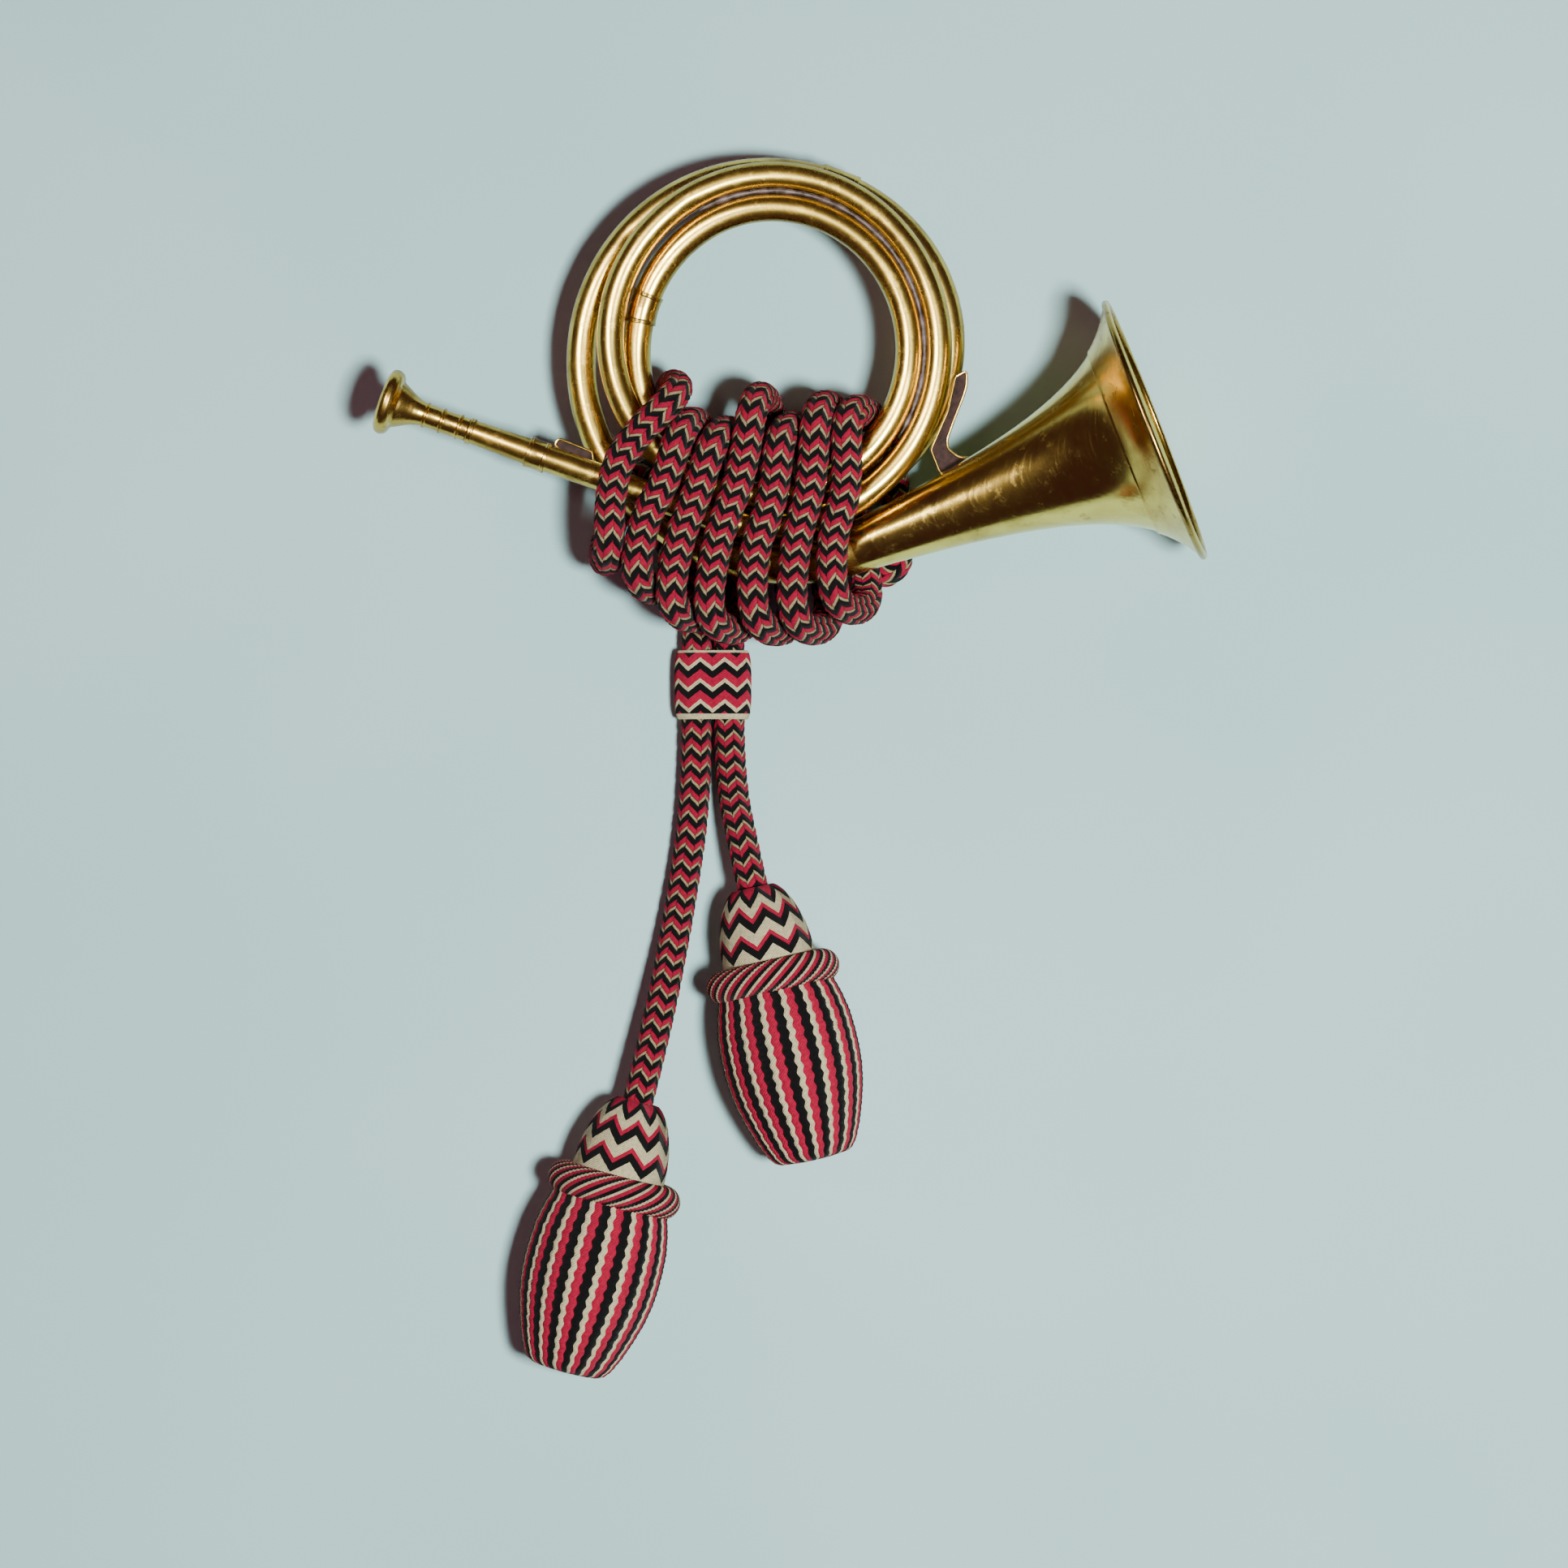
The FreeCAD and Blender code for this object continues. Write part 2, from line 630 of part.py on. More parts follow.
# The cord
def biarc(start, leave, end, arrive):
    """Two tangent arcs from a point and direction to another, each as its two ends and the
    corner where its tangents meet."""
    gap = end - start
    both = leave + arrive
    a = 2 * (leave.dot(arrive) - 1)
    b = -2 * gap.dot(both)
    c = gap.dot(gap)
    root = math.sqrt(b * b - 4 * a * c)
    reach = max((-b - root) / (2 * a), (-b + root) / (2 * a))
    first = start + leave * reach
    second = end - arrive * reach
    middle = (first + second) * 0.5
    return [(start, first, middle), (middle, second, end)]


def arc_middle(start, corner, end):
    weight = (end - start).Length / 2 / (corner - start).Length
    return (start + corner * (2 * weight) + end) * (1 / (2 + 2 * weight))


def arc_radius(start, corner, end):
    reach = (corner - start).Length
    half = math.acos(min(1.0, (end - start).Length / 2 / reach))
    return reach / math.tan(half)


# The winding goes over the front of the coil from its top turns to its bottom turns seven times,
# and back behind it. From left to right, from the coil's centre: where each front strand
# begins and ends, the directions there, and where the strand behind it starts its top turn.
TOPS = [
    (-49.9, -32.7), (-40.9, -50.5), (-27.6, -54.3), (-9.5, -40.4),
    (2.5, -53.2), (17.8, -44.4), (31.5, -51.4),
]
BOTTOMS = [
    (-65.0, -64.0), (-52.4, -78.1), (-38.7, -89.0), (-23.9, -94.0),
    (-7.2, -94.7), (9.2, -94.4), (25.0, -86.3),
]
TOP_TURNS = [-136.1, -106.8, -106.6, -97.9, -94.9, -92.0, -87.7]
BOTTOM_TURNS = [-91.2, -99.8, -98.7, -97.1, -89.9, -92.5, -89.5]
BEHIND_TOPS = [-40.8, -25.2, -10.4, 2.0, 17.7, 30.5, 52.5]
BEHIND_STEPS = [10.8, 13.0, 13.0, 14.8, 13.5, 13.5]


def winding_stations():
    """Points and directions that the winding passes, from the right cord to the left one."""
    over, under, floor = size("over_height"), size("under_height"), size("floor_height")
    x, y = size("exit_x"), size("exit_y")
    half, straight = size("cord_spacing") / 2, size("exit_straight")
    height = size("exit_height")
    found = [(V(x + half, y, height), unit(90)),
             (V(x + half, y + straight, height), unit(90)),
             (V(x + half, y + 2.5 * straight, floor), unit(88))]
    for i in reversed(range(len(TOPS))):
        last = i == len(TOPS) - 1
        top = V(BEHIND_TOPS[i], TOPS[i][1] - (7.3 if last else 0), floor if last else under)
        found.append((top, unit(96)))
        found.append((V(TOPS[i][0], TOPS[i][1], over), unit(TOP_TURNS[i])))
        found.append((V(BOTTOMS[i][0], BOTTOMS[i][1], over), unit(BOTTOM_TURNS[i])))
        if i:
            behind = BOTTOMS[i][0] + BEHIND_STEPS[i - 1]
            found.append((V(behind, BOTTOMS[i][1], under), unit(100)))
    found.append((V(-61.4, -57.0, floor), unit(69.9)))
    found.append((V(-40.3, -57.9, floor), unit(-75.0)))
    found.append((V(x - half, y + straight, height), unit(-90)))
    found.append((V(x - half, y, height), unit(-90)))
    return found


def winding():
    """Edges of the winding, as pairs of arcs between its stations."""
    edges, radii = [], []
    passed = winding_stations()
    for (start, leave), (end, arrive) in zip(passed, passed[1:]):
        way = (end - start).normalize()
        if way.cross(leave).Length < 1e-6 and way.cross(arrive).Length < 1e-6:
            edges.append(Part.LineSegment(start, end).toShape())
            continue
        for arc in biarc(start, leave, end, arrive):
            edges.append(Part.Arc(arc[0], arc_middle(*arc), arc[2]).toShape())
            radii.append(arc_radius(*arc))
    print("winding: tightest radius %.1f" % min(radii))
    return edges


def free_stretch(name, points):
    """Straight runs joined by arcs as large as the runs allow."""
    edges, radii = [], []
    at = points[0]
    for before, corner, after in zip(points, points[1:], points[2:]):
        into = corner - before
        out = after - corner
        reach = 0.45 * min(into.Length, out.Length)
        start = corner - into.normalize() * reach
        end = corner + out.normalize() * reach
        radii.append(arc_radius(start, corner, end))
        edges.append(Part.LineSegment(at, start).toShape())
        edges.append(Part.Arc(start, arc_middle(start, corner, end), end).toShape())
        at = end
    edges.append(Part.LineSegment(at, points[-1]).toShape())
    print(name, "radii", ["%.0f" % r for r in radii])
    return edges


def least_self_gap(path, diameter):
    """Least distance between stretches of the cord that are over two and a half diameters
    apart along it, less the diameter, measured on points a fifth of a diameter apart."""
    count = int(path.Length / (diameter / 5))
    points = path.discretize(count)
    step = path.Length / (count - 1)
    skip = int(2.5 * diameter / step)
    least = min((points[i] - points[j]).Length
                for i in range(count) for j in range(i + skip, count))
    return least - diameter


def tassel_frame(side):
    """Top of a tassel's head and the direction towards its bottom, as it lies."""
    pitch = size("tassel_pitch")
    direction = unit(size(side + "_angle"), pitch)
    height = ((size("body_radius") - size("rest_flat"))
              - size("body_widest") * math.sin(math.radians(pitch)))
    return V(size(side + "_x"), size(side + "_y"), height), direction


def cord():
    """One cord from the right tassel through the slider, round the coil, back through the
    slider and to the left tassel."""
    x, y, height = size("exit_x"), size("exit_y"), size("exit_height")
    half = size("cord_spacing") / 2
    top, direction = tassel_frame("right")
    right = free_stretch("right cord", [
        top + direction * size("socket_depth"),
        top - direction * 15,
        V(x + half, -176.0, height),
        V(x + half, y, height),
    ])
    top, direction = tassel_frame("left")
    left = free_stretch("left cord", [
        V(x - half, y, height),
        V(x - half, -184.0, height),
        V(-37.4, -230.0, height),
        top - direction * 25,
        top + direction * size("socket_depth"),
    ])
    path = Part.Wire(right + winding() + left)
    start = path.Edges[0].firstVertex().Point
    onward = path.Edges[0].tangentAt(path.Edges[0].FirstParameter)
    section = ring_at(start, onward, size("cord_diameter") / 2, int(size("cord_sides")))
    tube = path.makePipeShell([section], True, False)
    ideal = Part.Face(section).Area * path.Length
    print("cord: length %.1f" % path.Length, "volume share %.4f" % (tube.Volume / ideal),
          "least gap to itself %.2f" % least_self_gap(path, size("cord_diameter")))
    keep(shaped("cord", tube), "cord")


def slider():
    """A woven sleeve with rounded sides and two round ways for the cords."""
    body = doc.addObject("PartDesign::Body", "cord_slider")
    sketch = new_sketch(body, "slider_section", "XZ_Plane")
    wide = "(sizes.slider_width - sizes.slider_thickness) / 2"
    high = "sizes.slider_thickness / 2"
    corners = []
    for across, along in ((0, 1), (0.5, 0.87), (0.87, 0.5), (1, 0)):
        corners.append((across, along))
    quarter = corners + [(x, -y) for x, y in reversed(corners[:-1])]
    ring = [(1, x, y) for x, y in quarter] + [(-1, -x, y) for x, y in reversed(quarter)]
    outline(sketch, [("%d * %s + %s * %s" % (side, wide, x, high), "%s * %s" % (y, high) if y else "0")
                     for side, x, y in ring])
    for k, sign in (("left", "-"), ("right", "")):
        geo = sketch.addGeometry(Part.Circle(V(0, 0, 0), V(0, 0, 1), 1), False)
        pin(sketch, k, geo, 3, sign + "sizes.cord_spacing / 2", "0")
        number = sketch.addConstraint(Sketcher.Constraint("Radius", geo, 6.8))
        sketch.renameConstraint(number, k + "_way")
        sketch.setExpression("Constraints.%s_way" % k, "sizes.cord_diameter / 2 + sizes.slider_play")
    pad = body.newObject("PartDesign::Pad", "slider_sleeve")
    pad.Profile = sketch
    pad.setExpression("Length", "sizes.slider_length")
    pad.Midplane = True
    sketch.Visibility = False
    doc.recompute()
    middle = V(size("exit_x"), size("slider_y"), size("exit_height"))
    place(body, middle)
    return keep(body, "cord_slider")


# The tassels: a turned wooden core in a woven head cover, a twisted ring and a plaited body
BARREL = ((0.0, "sizes.body_top_radius"), (0.15, "sizes.body_radius * 0.955"),
          (0.3, "sizes.body_radius * 0.995"), (0.4, "sizes.body_radius"),
          (0.52, "sizes.body_radius * 0.98"), (0.7, "sizes.body_radius * 0.885"),
          (0.86, "sizes.body_radius * 0.735"), (1.0, "sizes.body_bottom_radius"))


def barrel(offset, end):
    """Corners down the side of the body, its cover's outside moved in by an offset."""
    start = "sizes.ring_centre + sizes.ring_rope_radius + sizes.fit"
    found = []
    for share, radius in BARREL:
        along = "(%s) * %s + (%s) * %s" % (start, round(1 - share, 2), end, share)
        found.append((radius + offset, along))
    return found


def tassel(side):
    name = "tassel_%s_" % side
    top, direction = tassel_frame(side)
    skin, gap = " - sizes.cover_wall", " - sizes.cover_wall - sizes.fit"
    neck = "sizes.cord_diameter / 2 + sizes.slider_play"
    ring, rope = "sizes.ring_centre", "sizes.ring_rope_radius"
    above = "%s - %s - sizes.fit" % (ring, rope)
    below = "%s + %s + sizes.fit" % (ring, rope)
    waist = "sizes.ring_radius - %s - sizes.fit" % rope
    bottom = "sizes.tassel_length"
    socket = "sizes.socket_depth + sizes.fit"

    core = turned(name + "core", [
        ("0", socket),
        (neck, socket),
        (neck, "sizes.cover_wall + sizes.fit"),
        ("sizes.head_top_radius" + gap, "sizes.cover_wall + sizes.fit"),
        ("sizes.head_base_radius" + gap, above),
        (waist, "%s - %s * 0.43" % (ring, rope)),
        (waist, below),
    ] + barrel(gap, bottom + gap) + [("0", bottom + gap)], "tassel_sides")
    place(core, top, direction)
    keep(core, name + "core")

    head = turned(name + "head", [
        (neck, "0"),
        ("sizes.head_top_radius - 0.8", "0"),
        ("sizes.head_top_radius + 0.4", "1.6"),
        ("sizes.head_base_radius", above),
        ("sizes.head_base_radius" + skin, above),
        ("sizes.head_top_radius" + skin, "sizes.cover_wall"),
        (neck, "sizes.cover_wall"),
    ], "tassel_sides")
    place(head, top, direction)
    keep(head, name + "head")

    # The rest flats: what would reach below the surface is pressed flat
    slab = Part.makeBox(120, 120, 40, V(-60, -60, -40))
    slab.translate(V(top.x + direction.x * 60, top.y + direction.y * 60, 0))
    middle = "sizes.ring_radius"
    corners = []
    for across, along in ((-1, -0.414), (-0.414, -1), (0.414, -1), (1, -0.414),
                          (1, 0.414), (0.414, 1), (-0.414, 1), (-1, 0.414)):
        corners.append(("%s + %s * %s" % (middle, across, rope), "%s + %s * %s" % (ring, along, rope)))
    blank = turned(name + "ring_blank", corners, "tassel_sides")
    trimmed(name + "ring", blank, slab, top, direction)

    inner = barrel(skin, bottom + skin)
    cover = barrel("", bottom) + [("0", bottom), ("0", bottom + skin)] + inner[::-1]
    blank = turned(name + "body_blank", cover, "tassel_sides")
    trimmed(name + "body", blank, slab, top, direction)


tube_parts()
ferrule_parts()
mouthpiece()
mouthpipe_parts()
bell_parts()
stay_parts()
cord()
slider()
tassel("left")
tassel("right")
doc.recompute()

for thing in doc.Objects:
    if "Invalid" in thing.State or "Error" in thing.State:
        raise RuntimeError("%s is %s" % (thing.Name, thing.State))
os.makedirs("parts", exist_ok=True)
for thing in NODES:
    shape = thing.Shape
    if shape.isNull() or not shape.isValid():
        raise RuntimeError("%s has no valid shape" % thing.Label)
    print("%-20s solids %d volume %.1f" % (thing.Label, len(shape.Solids), shape.Volume))
    shape.exportStep("parts/%s.step" % thing.Label)
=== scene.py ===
import math

import bpy
import numpy as np
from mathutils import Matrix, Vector


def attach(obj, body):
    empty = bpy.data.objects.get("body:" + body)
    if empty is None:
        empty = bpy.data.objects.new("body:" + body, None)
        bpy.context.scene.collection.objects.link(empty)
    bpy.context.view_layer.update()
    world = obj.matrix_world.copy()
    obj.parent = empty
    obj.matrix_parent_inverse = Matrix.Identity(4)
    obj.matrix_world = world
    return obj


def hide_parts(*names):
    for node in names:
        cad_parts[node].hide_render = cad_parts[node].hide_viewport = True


# The looks of a coiled post horn that lies on its side, with a braided cord wound round its
# coil, a woven slider and two tassels. Sizes are in millimetres from the coil's centre, with x
# towards the bell, y towards the top of the coil and z up from the floor. to_row turns them
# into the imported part's frame, in metres.

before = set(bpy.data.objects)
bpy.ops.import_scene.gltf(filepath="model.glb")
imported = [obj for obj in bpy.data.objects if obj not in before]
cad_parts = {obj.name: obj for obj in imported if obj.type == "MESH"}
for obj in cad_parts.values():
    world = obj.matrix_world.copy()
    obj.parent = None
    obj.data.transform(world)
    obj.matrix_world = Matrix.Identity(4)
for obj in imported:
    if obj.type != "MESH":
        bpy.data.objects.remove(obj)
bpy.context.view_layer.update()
MM = 0.001
ORIGIN = np.array([8.15, -9.11, 0.0])


def to_row(points):
    return (np.asarray(points, float) - ORIGIN) * MM


def unit(degrees, climb=0.0):
    a, c = math.radians(degrees), math.radians(climb)
    return np.array([math.cos(a) * math.cos(c), math.sin(a) * math.cos(c), math.sin(c)])


def length_of(vector):
    return float(np.linalg.norm(vector))


# Mesh helpers
def grid(name, points, along=None, wrap=True, close=False):
    """A mesh through a table of points, row by row. wrap joins the last column to the first and
    close the last row to the first. The map holds the share round a row and the way along."""
    points = np.asarray(points, float)
    rows, cols = points.shape[:2]
    i = np.arange(rows if close else rows - 1)
    j = np.arange(cols if wrap else cols - 1)
    jj, ii = np.meshgrid(j, i)
    ii, jj = ii.ravel(), jj.ravel()
    i1, j1 = (ii + 1) % rows, (jj + 1) % cols
    faces = np.stack([ii * cols + jj, ii * cols + j1, i1 * cols + j1, i1 * cols + jj], 1)
    mesh = bpy.data.meshes.new(name)
    mesh.vertices.add(rows * cols)
    mesh.vertices.foreach_set("co", to_row(points.reshape(-1, 3)).ravel())
    mesh.loops.add(faces.size)
    mesh.loops.foreach_set("vertex_index", faces.ravel().astype(np.int32))
    mesh.polygons.add(len(faces))
    mesh.polygons.foreach_set("loop_start", np.arange(0, faces.size, 4, dtype=np.int32))
    mesh.polygons.foreach_set("use_smooth", np.ones(len(faces), bool))
    if along is None:
        steps = np.linalg.norm(np.diff(points, axis=0), axis=2).mean(1)
        along = np.concatenate([[0], np.cumsum(steps)])
    last = along[-1] + (along[-1] - along[-2])
    ahead = np.append(along, last)
    width = cols if wrap else cols - 1
    u = np.stack([jj, jj + 1, jj + 1, jj], 1) / width
    v = np.stack([ahead[ii], ahead[ii], ahead[ii + 1], ahead[ii + 1]], 1)
    layer = mesh.uv_layers.new(name="map")
    layer.data.foreach_set("uv", np.stack([u, v], 2).ravel())
    mesh.update(calc_edges=True)
    mesh.validate()
    obj = bpy.data.objects.new(name, mesh)
    bpy.context.scene.collection.objects.link(obj)
    return obj


def joined(name, parts):
    """One object out of several."""
    bpy.ops.object.select_all(action="DESELECT")
    for part in parts:
        part.select_set(True)
    bpy.context.view_layer.objects.active = parts[0]
    bpy.ops.object.join()
    parts[0].name = name
    return parts[0]


def level_frame(direction):
    """Two directions square to the given one, the first of them level."""
    level = np.cross(direction, [0, 0, 1.0])
    level /= length_of(level)
    return level, np.cross(level, direction)


def sweep(name, centres, directions, radii, sides, along=None):
    """A round skin along a line. radii is a number for each centre, or a table by side."""
    turn = np.linspace(0, 2 * np.pi, sides, endpoint=False)
    radii = np.asarray(radii, float)
    if radii.ndim == 1:
        radii = radii[:, None] * np.ones(sides)
    rows = []
    for centre, direction, radius in zip(centres, directions, radii):
        a, b = level_frame(direction)
        ring = np.outer(np.cos(turn) * radius, a) + np.outer(np.sin(turn) * radius, b)
        rows.append(centre + ring)
    return grid(name, rows, along)


def lathe(name, profile, position, direction, sides=96):
    """A turned skin: profile holds (radius, way along the direction), closed by its own ends."""
    profile = np.asarray(profile, float)
    centres = position + np.outer(profile[:, 1], direction)
    return sweep(name, centres, [direction] * len(profile), profile[:, 0], sides)


# Material helpers
class Nodes:
    """Builds a material's nodes with few words."""

    def __init__(self, name):
        self.material = bpy.data.materials.new(name)
        self.material.use_nodes = True
        self.tree = self.material.node_tree
        self.shader = self.tree.nodes["Principled BSDF"]

    def node(self, kind, **values):
        found = self.tree.nodes.new(kind)
        for key, value in values.items():
            setattr(found, key, value)
        return found

    def link(self, source, target):
        self.tree.links.new(source, target)

    def put(self, socket, value):
        if isinstance(value, bpy.types.NodeSocket):
            self.link(value, socket)
        else:
            socket.default_value = value

    def math(self, operation, first, second=0.0, third=0.0):
        found = self.node("ShaderNodeMath", operation=operation)
        for socket, value in zip(found.inputs, (first, second, third)):
            self.put(socket, value)
        return found.outputs[0]

    def noise(self, scale, detail=4.0, roughness=0.55, vector=None, distortion=0.0):
        found = self.node("ShaderNodeTexNoise")
        found.inputs["Scale"].default_value = scale
        found.inputs["Detail"].default_value = detail
        found.inputs["Roughness"].default_value = roughness
        found.inputs["Distortion"].default_value = distortion
        self.link(vector or self.place(), found.inputs["Vector"])
        return found.outputs["Fac"]

    def place(self):
        found = self.tree.nodes.get("place") or self.node("ShaderNodeTexCoord", name="place")
        return found.outputs["Object"]

    def map(self):
        found = self.tree.nodes.get("map") or self.node("ShaderNodeUVMap", name="map")
        found.uv_map = "map"
        split = self.tree.nodes.get("split") or self.node("ShaderNodeSeparateXYZ", name="split")
        self.link(found.outputs[0], split.inputs[0])
        return split.outputs[0], split.outputs[1]

    def ramp(self, value, stops, sharp=False):
        found = self.node("ShaderNodeValToRGB")
        found.color_ramp.interpolation = "CONSTANT" if sharp else "LINEAR"
        elements = found.color_ramp.elements
        elements[0].position, elements[0].color = stops[0][0], (*stops[0][1], 1)
        while len(elements) > 1:
            elements.remove(elements[-1])
        for position, colour in stops[1:]:
            elements.new(position).color = (*colour, 1)
        self.link(value, found.inputs[0])
        return found.outputs["Color"]

    def span(self, value, low, high, out_low=0.0, out_high=1.0):
        found = self.node("ShaderNodeMapRange")
        for socket, number in zip(found.inputs, (value, low, high, out_low, out_high)):
            self.put(socket, number)
        return found.outputs[0]

    def mix(self, share, first, second, blend="MIX"):
        found = self.node("ShaderNodeMix", data_type="RGBA", blend_type=blend)
        self.put(found.inputs[0], share)
        for socket, value in ((found.inputs[6], first), (found.inputs[7], second)):
            if isinstance(value, tuple):
                value = (*value, 1)
            self.put(socket, value)
        return found.outputs[2]

    def bump(self, height, strength, distance, normal=None):
        found = self.node("ShaderNodeBump")
        found.inputs["Strength"].default_value = strength
        found.inputs["Distance"].default_value = distance
        self.link(height, found.inputs["Height"])
        if normal:
            self.link(normal, found.inputs["Normal"])
        return found.outputs["Normal"]


CRIMSON = (0.43, 0.006, 0.040)
BLACK = (0.0035, 0.003, 0.0035)
CREAM = (0.62, 0.52, 0.31)
DULL_CREAM = (0.43, 0.33, 0.17)


def brass(name, base, dark, stain_and_shade, tarnish, rough_low, rough_high, painted_side_shade=0.0):
    """Old polished brass with brown stains, handling wear, hairlines and small dents. Painted shade
    darkens the sides and underside of a tube towards the stain colour, away from its top, where the map's
    share round it is far from the quarter."""
    n = Nodes(name)
    clouds = n.noise(38, 6, 0.62, distortion=0.6)
    spots = n.noise(150, 8, 0.75)
    colour = n.mix(n.span(clouds, 0.42, 0.68), base, dark)
    colour = n.mix(n.math("MULTIPLY", n.span(spots, 0.56, 0.7), tarnish), colour, stain_and_shade)
    # Painted shade: the tube's sides and underside are darkened towards the stain colour, leaving its top
    # bright.
    if painted_side_shade:
        across = n.math("ABSOLUTE", n.math("SUBTRACT", n.map()[0], 0.25))
        across = n.math("ADD", across, n.span(clouds, 0.3, 0.7, -0.03, 0.03))
        colour = n.mix(n.math("MULTIPLY", n.span(across, 0.10, 0.22), painted_side_shade), colour, stain_and_shade)
    stretch = n.node("ShaderNodeMapping")
    n.link(n.place(), stretch.inputs["Vector"])
    stretch.inputs["Scale"].default_value = (260, 40, 1400)
    hairs = n.noise(1.0, 3, 0.6, stretch.outputs[0])
    rough = n.span(clouds, 0.35, 0.75, rough_low, rough_high)
    rough = n.math("ADD", rough, n.math("MULTIPLY", n.span(spots, 0.55, 0.75), 0.22))
    rough = n.math("ADD", rough, n.span(hairs, 0.55, 0.75, 0.0, 0.08))
    height = n.math("ADD", n.noise(22, 2, 0.4), n.math("MULTIPLY", n.noise(420, 4, 0.7), 0.06))
    normal = n.bump(height, 0.35, 0.0016)
    normal = n.bump(hairs, 0.06, 0.0003, normal)
    n.link(colour, n.shader.inputs["Base Color"])
    n.link(rough, n.shader.inputs["Roughness"])
    n.link(normal, n.shader.inputs["Normal"])
    n.shader.inputs["Metallic"].default_value = 1.0
    return n.material


def fabric_finish(n, colour, fibre, fibre_depth=0.0004):
    """What all the yarn shares: sheen, soft fuzz and threads along the stitches."""
    tint = n.span(n.noise(900, 3, 0.6), 0.3, 0.75, 0.72, 1.2)
    shade = n.node("ShaderNodeCombineColor")
    for socket in shade.inputs:
        n.link(tint, socket)
    colour = n.mix(1.0, colour, shade.outputs[0], "MULTIPLY")
    n.link(colour, n.shader.inputs["Base Color"])
    n.shader.inputs["Roughness"].default_value = 0.82
    n.shader.inputs["Sheen Weight"].default_value = 0.03
    n.shader.inputs["Sheen Roughness"].default_value = 0.45
    n.shader.inputs["Specular IOR Level"].default_value = 0.12
    n.link(n.bump(fibre, 0.6, fibre_depth), n.shader.inputs["Normal"])
    return n.material


def zigzag_phase(n, waves, rise, repeat, step):
    """Rows of zigzags: how far a point is along the repeat, in repeats. Every other arm of the
    zigzags is a step further on."""
    u, v = n.map()
    turns = n.math("MULTIPLY", u, waves)
    wave = n.math("PINGPONG", turns, 0.5)
    phase = n.math("ADD", n.math("DIVIDE", v, repeat), n.math("MULTIPLY", wave, 2 * rise / repeat))
    if step:
        arm = n.math("GREATER_THAN", n.math("FRACT", turns), 0.5)
        phase = n.math("ADD", phase, n.math("MULTIPLY", arm, step))
    return phase


def zigzag_fabric(name, waves, rise, repeat, stops, threads, crevice_shade=0.0, step=0.0, edges_at=None):
    """Woven zigzags in bands of colour. Painted shade, as strong as the argument after threads, darkens
    where bands and arms meet, and edges_at gives the ways along between which the zigzags run, with plain
    cream outside them."""
    n = Nodes(name)
    phase = zigzag_phase(n, waves, rise, repeat, step)
    wobble = n.span(n.noise(700, 2), 0.3, 0.7, -0.13 / repeat, 0.13 / repeat)
    share = n.math("FRACT", n.math("ADD", phase, wobble))
    colour = n.ramp(share, stops, True)
    # Painted shade: dark lines where the bands meet and dark spots at the folds of the zigzags, for the
    # shade in the crevices between stitches.
    if crevice_shade:
        dark, full = (1 - crevice_shade,) * 3, (1, 1, 1)
        edges = [(0.0, dark), (0.05, full)]
        for at, _ in stops[1:]:
            edges += [(at - 0.05, full), (at, dark), (at + 0.05, full)]
        colour = n.mix(1.0, colour, n.ramp(share, edges + [(0.95, full), (1.0, dark)]), "MULTIPLY")
        u = n.map()[0]
        fold = n.math("PINGPONG", n.math("MULTIPLY", u, waves), 0.25)
        fold_shade = n.ramp(n.math("MULTIPLY", fold, 4.0), [(0.0, (1 - crevice_shade * 0.8,) * 3), (0.14, full)])
        colour = n.mix(1.0, colour, fold_shade, "MULTIPLY")
    if edges_at:
        v = n.map()[1]
        edge = n.math("ADD", n.math("LESS_THAN", v, edges_at[0]),
                      n.math("GREATER_THAN", v, edges_at[1]))
        colour = n.mix(edge, colour, CREAM)
    fibre = n.math("SINE", n.math("MULTIPLY", phase, threads * 2 * math.pi))
    return fabric_finish(n, colour, fibre)


# The horn's centre line: (angle round the coil, radius, height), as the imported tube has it
FRONT, BACK = 47.0, 34.0
LEAD_ANGLE, LEAD_DISTANCE = -19.7, 74.2
BELL_ANGLE, BELL_PITCH, BELL_LENGTH = 21.2, 7.7, 132.0
MOUTH_RADIUS, THROAT_RADIUS, BELL_REACH, BELL_POWER = 55.4, 10.4, 14.0, 0.30
RIM_WIRE, RIM_INSET = 1.5, 0.5
TUBE_RADIUS, TUBE_GROWTH = 5.5, 0.4
INNER_JOINT, OUTER_JOINT = 522.8, 787.6

LEAD = unit(LEAD_ANGLE)
LEAD_FOOT = unit(LEAD_ANGLE - 90) * LEAD_DISTANCE + [0, 0, FRONT]
MOUTHPIECE_RIM = LEAD_FOOT + LEAD * ((-158.7 - LEAD_FOOT[0]) / LEAD[0])
BELL_AXIS = unit(BELL_ANGLE, BELL_PITCH)
BELL_HEIGHT = (MOUTH_RADIUS - RIM_INSET + RIM_WIRE) * math.cos(math.radians(BELL_PITCH))
BELL_MOUTH = np.array([156.6, -35.2, BELL_HEIGHT])
BELL_JOINT = BELL_MOUTH - BELL_AXIS * BELL_LENGTH
LEAD_TURN = LEAD_ANGLE - 90
BELL_TURN = math.degrees(math.atan2(BELL_JOINT[1], BELL_JOINT[0])) + 3 * 360
BELL_RADIUS = math.hypot(BELL_JOINT[0], BELL_JOINT[1])
TURNS = np.array([
    (LEAD_TURN, LEAD_DISTANCE, FRONT), (0, 69.0, FRONT), (90, 69.7, FRONT), (180, 65.3, FRONT),
    (270, 61.0, FRONT), (360, 57.0, FRONT), (450, 56.7, FRONT - 0.5), (540, 54.8, FRONT - 8.3),
    (630, 64.0, BACK), (720, 74.3, BACK), (810, 72.7, BACK), (900, 77.7, BACK),
    (990, 88.2, BACK + 1.5), (BELL_TURN, BELL_RADIUS, BELL_JOINT[2]),
])


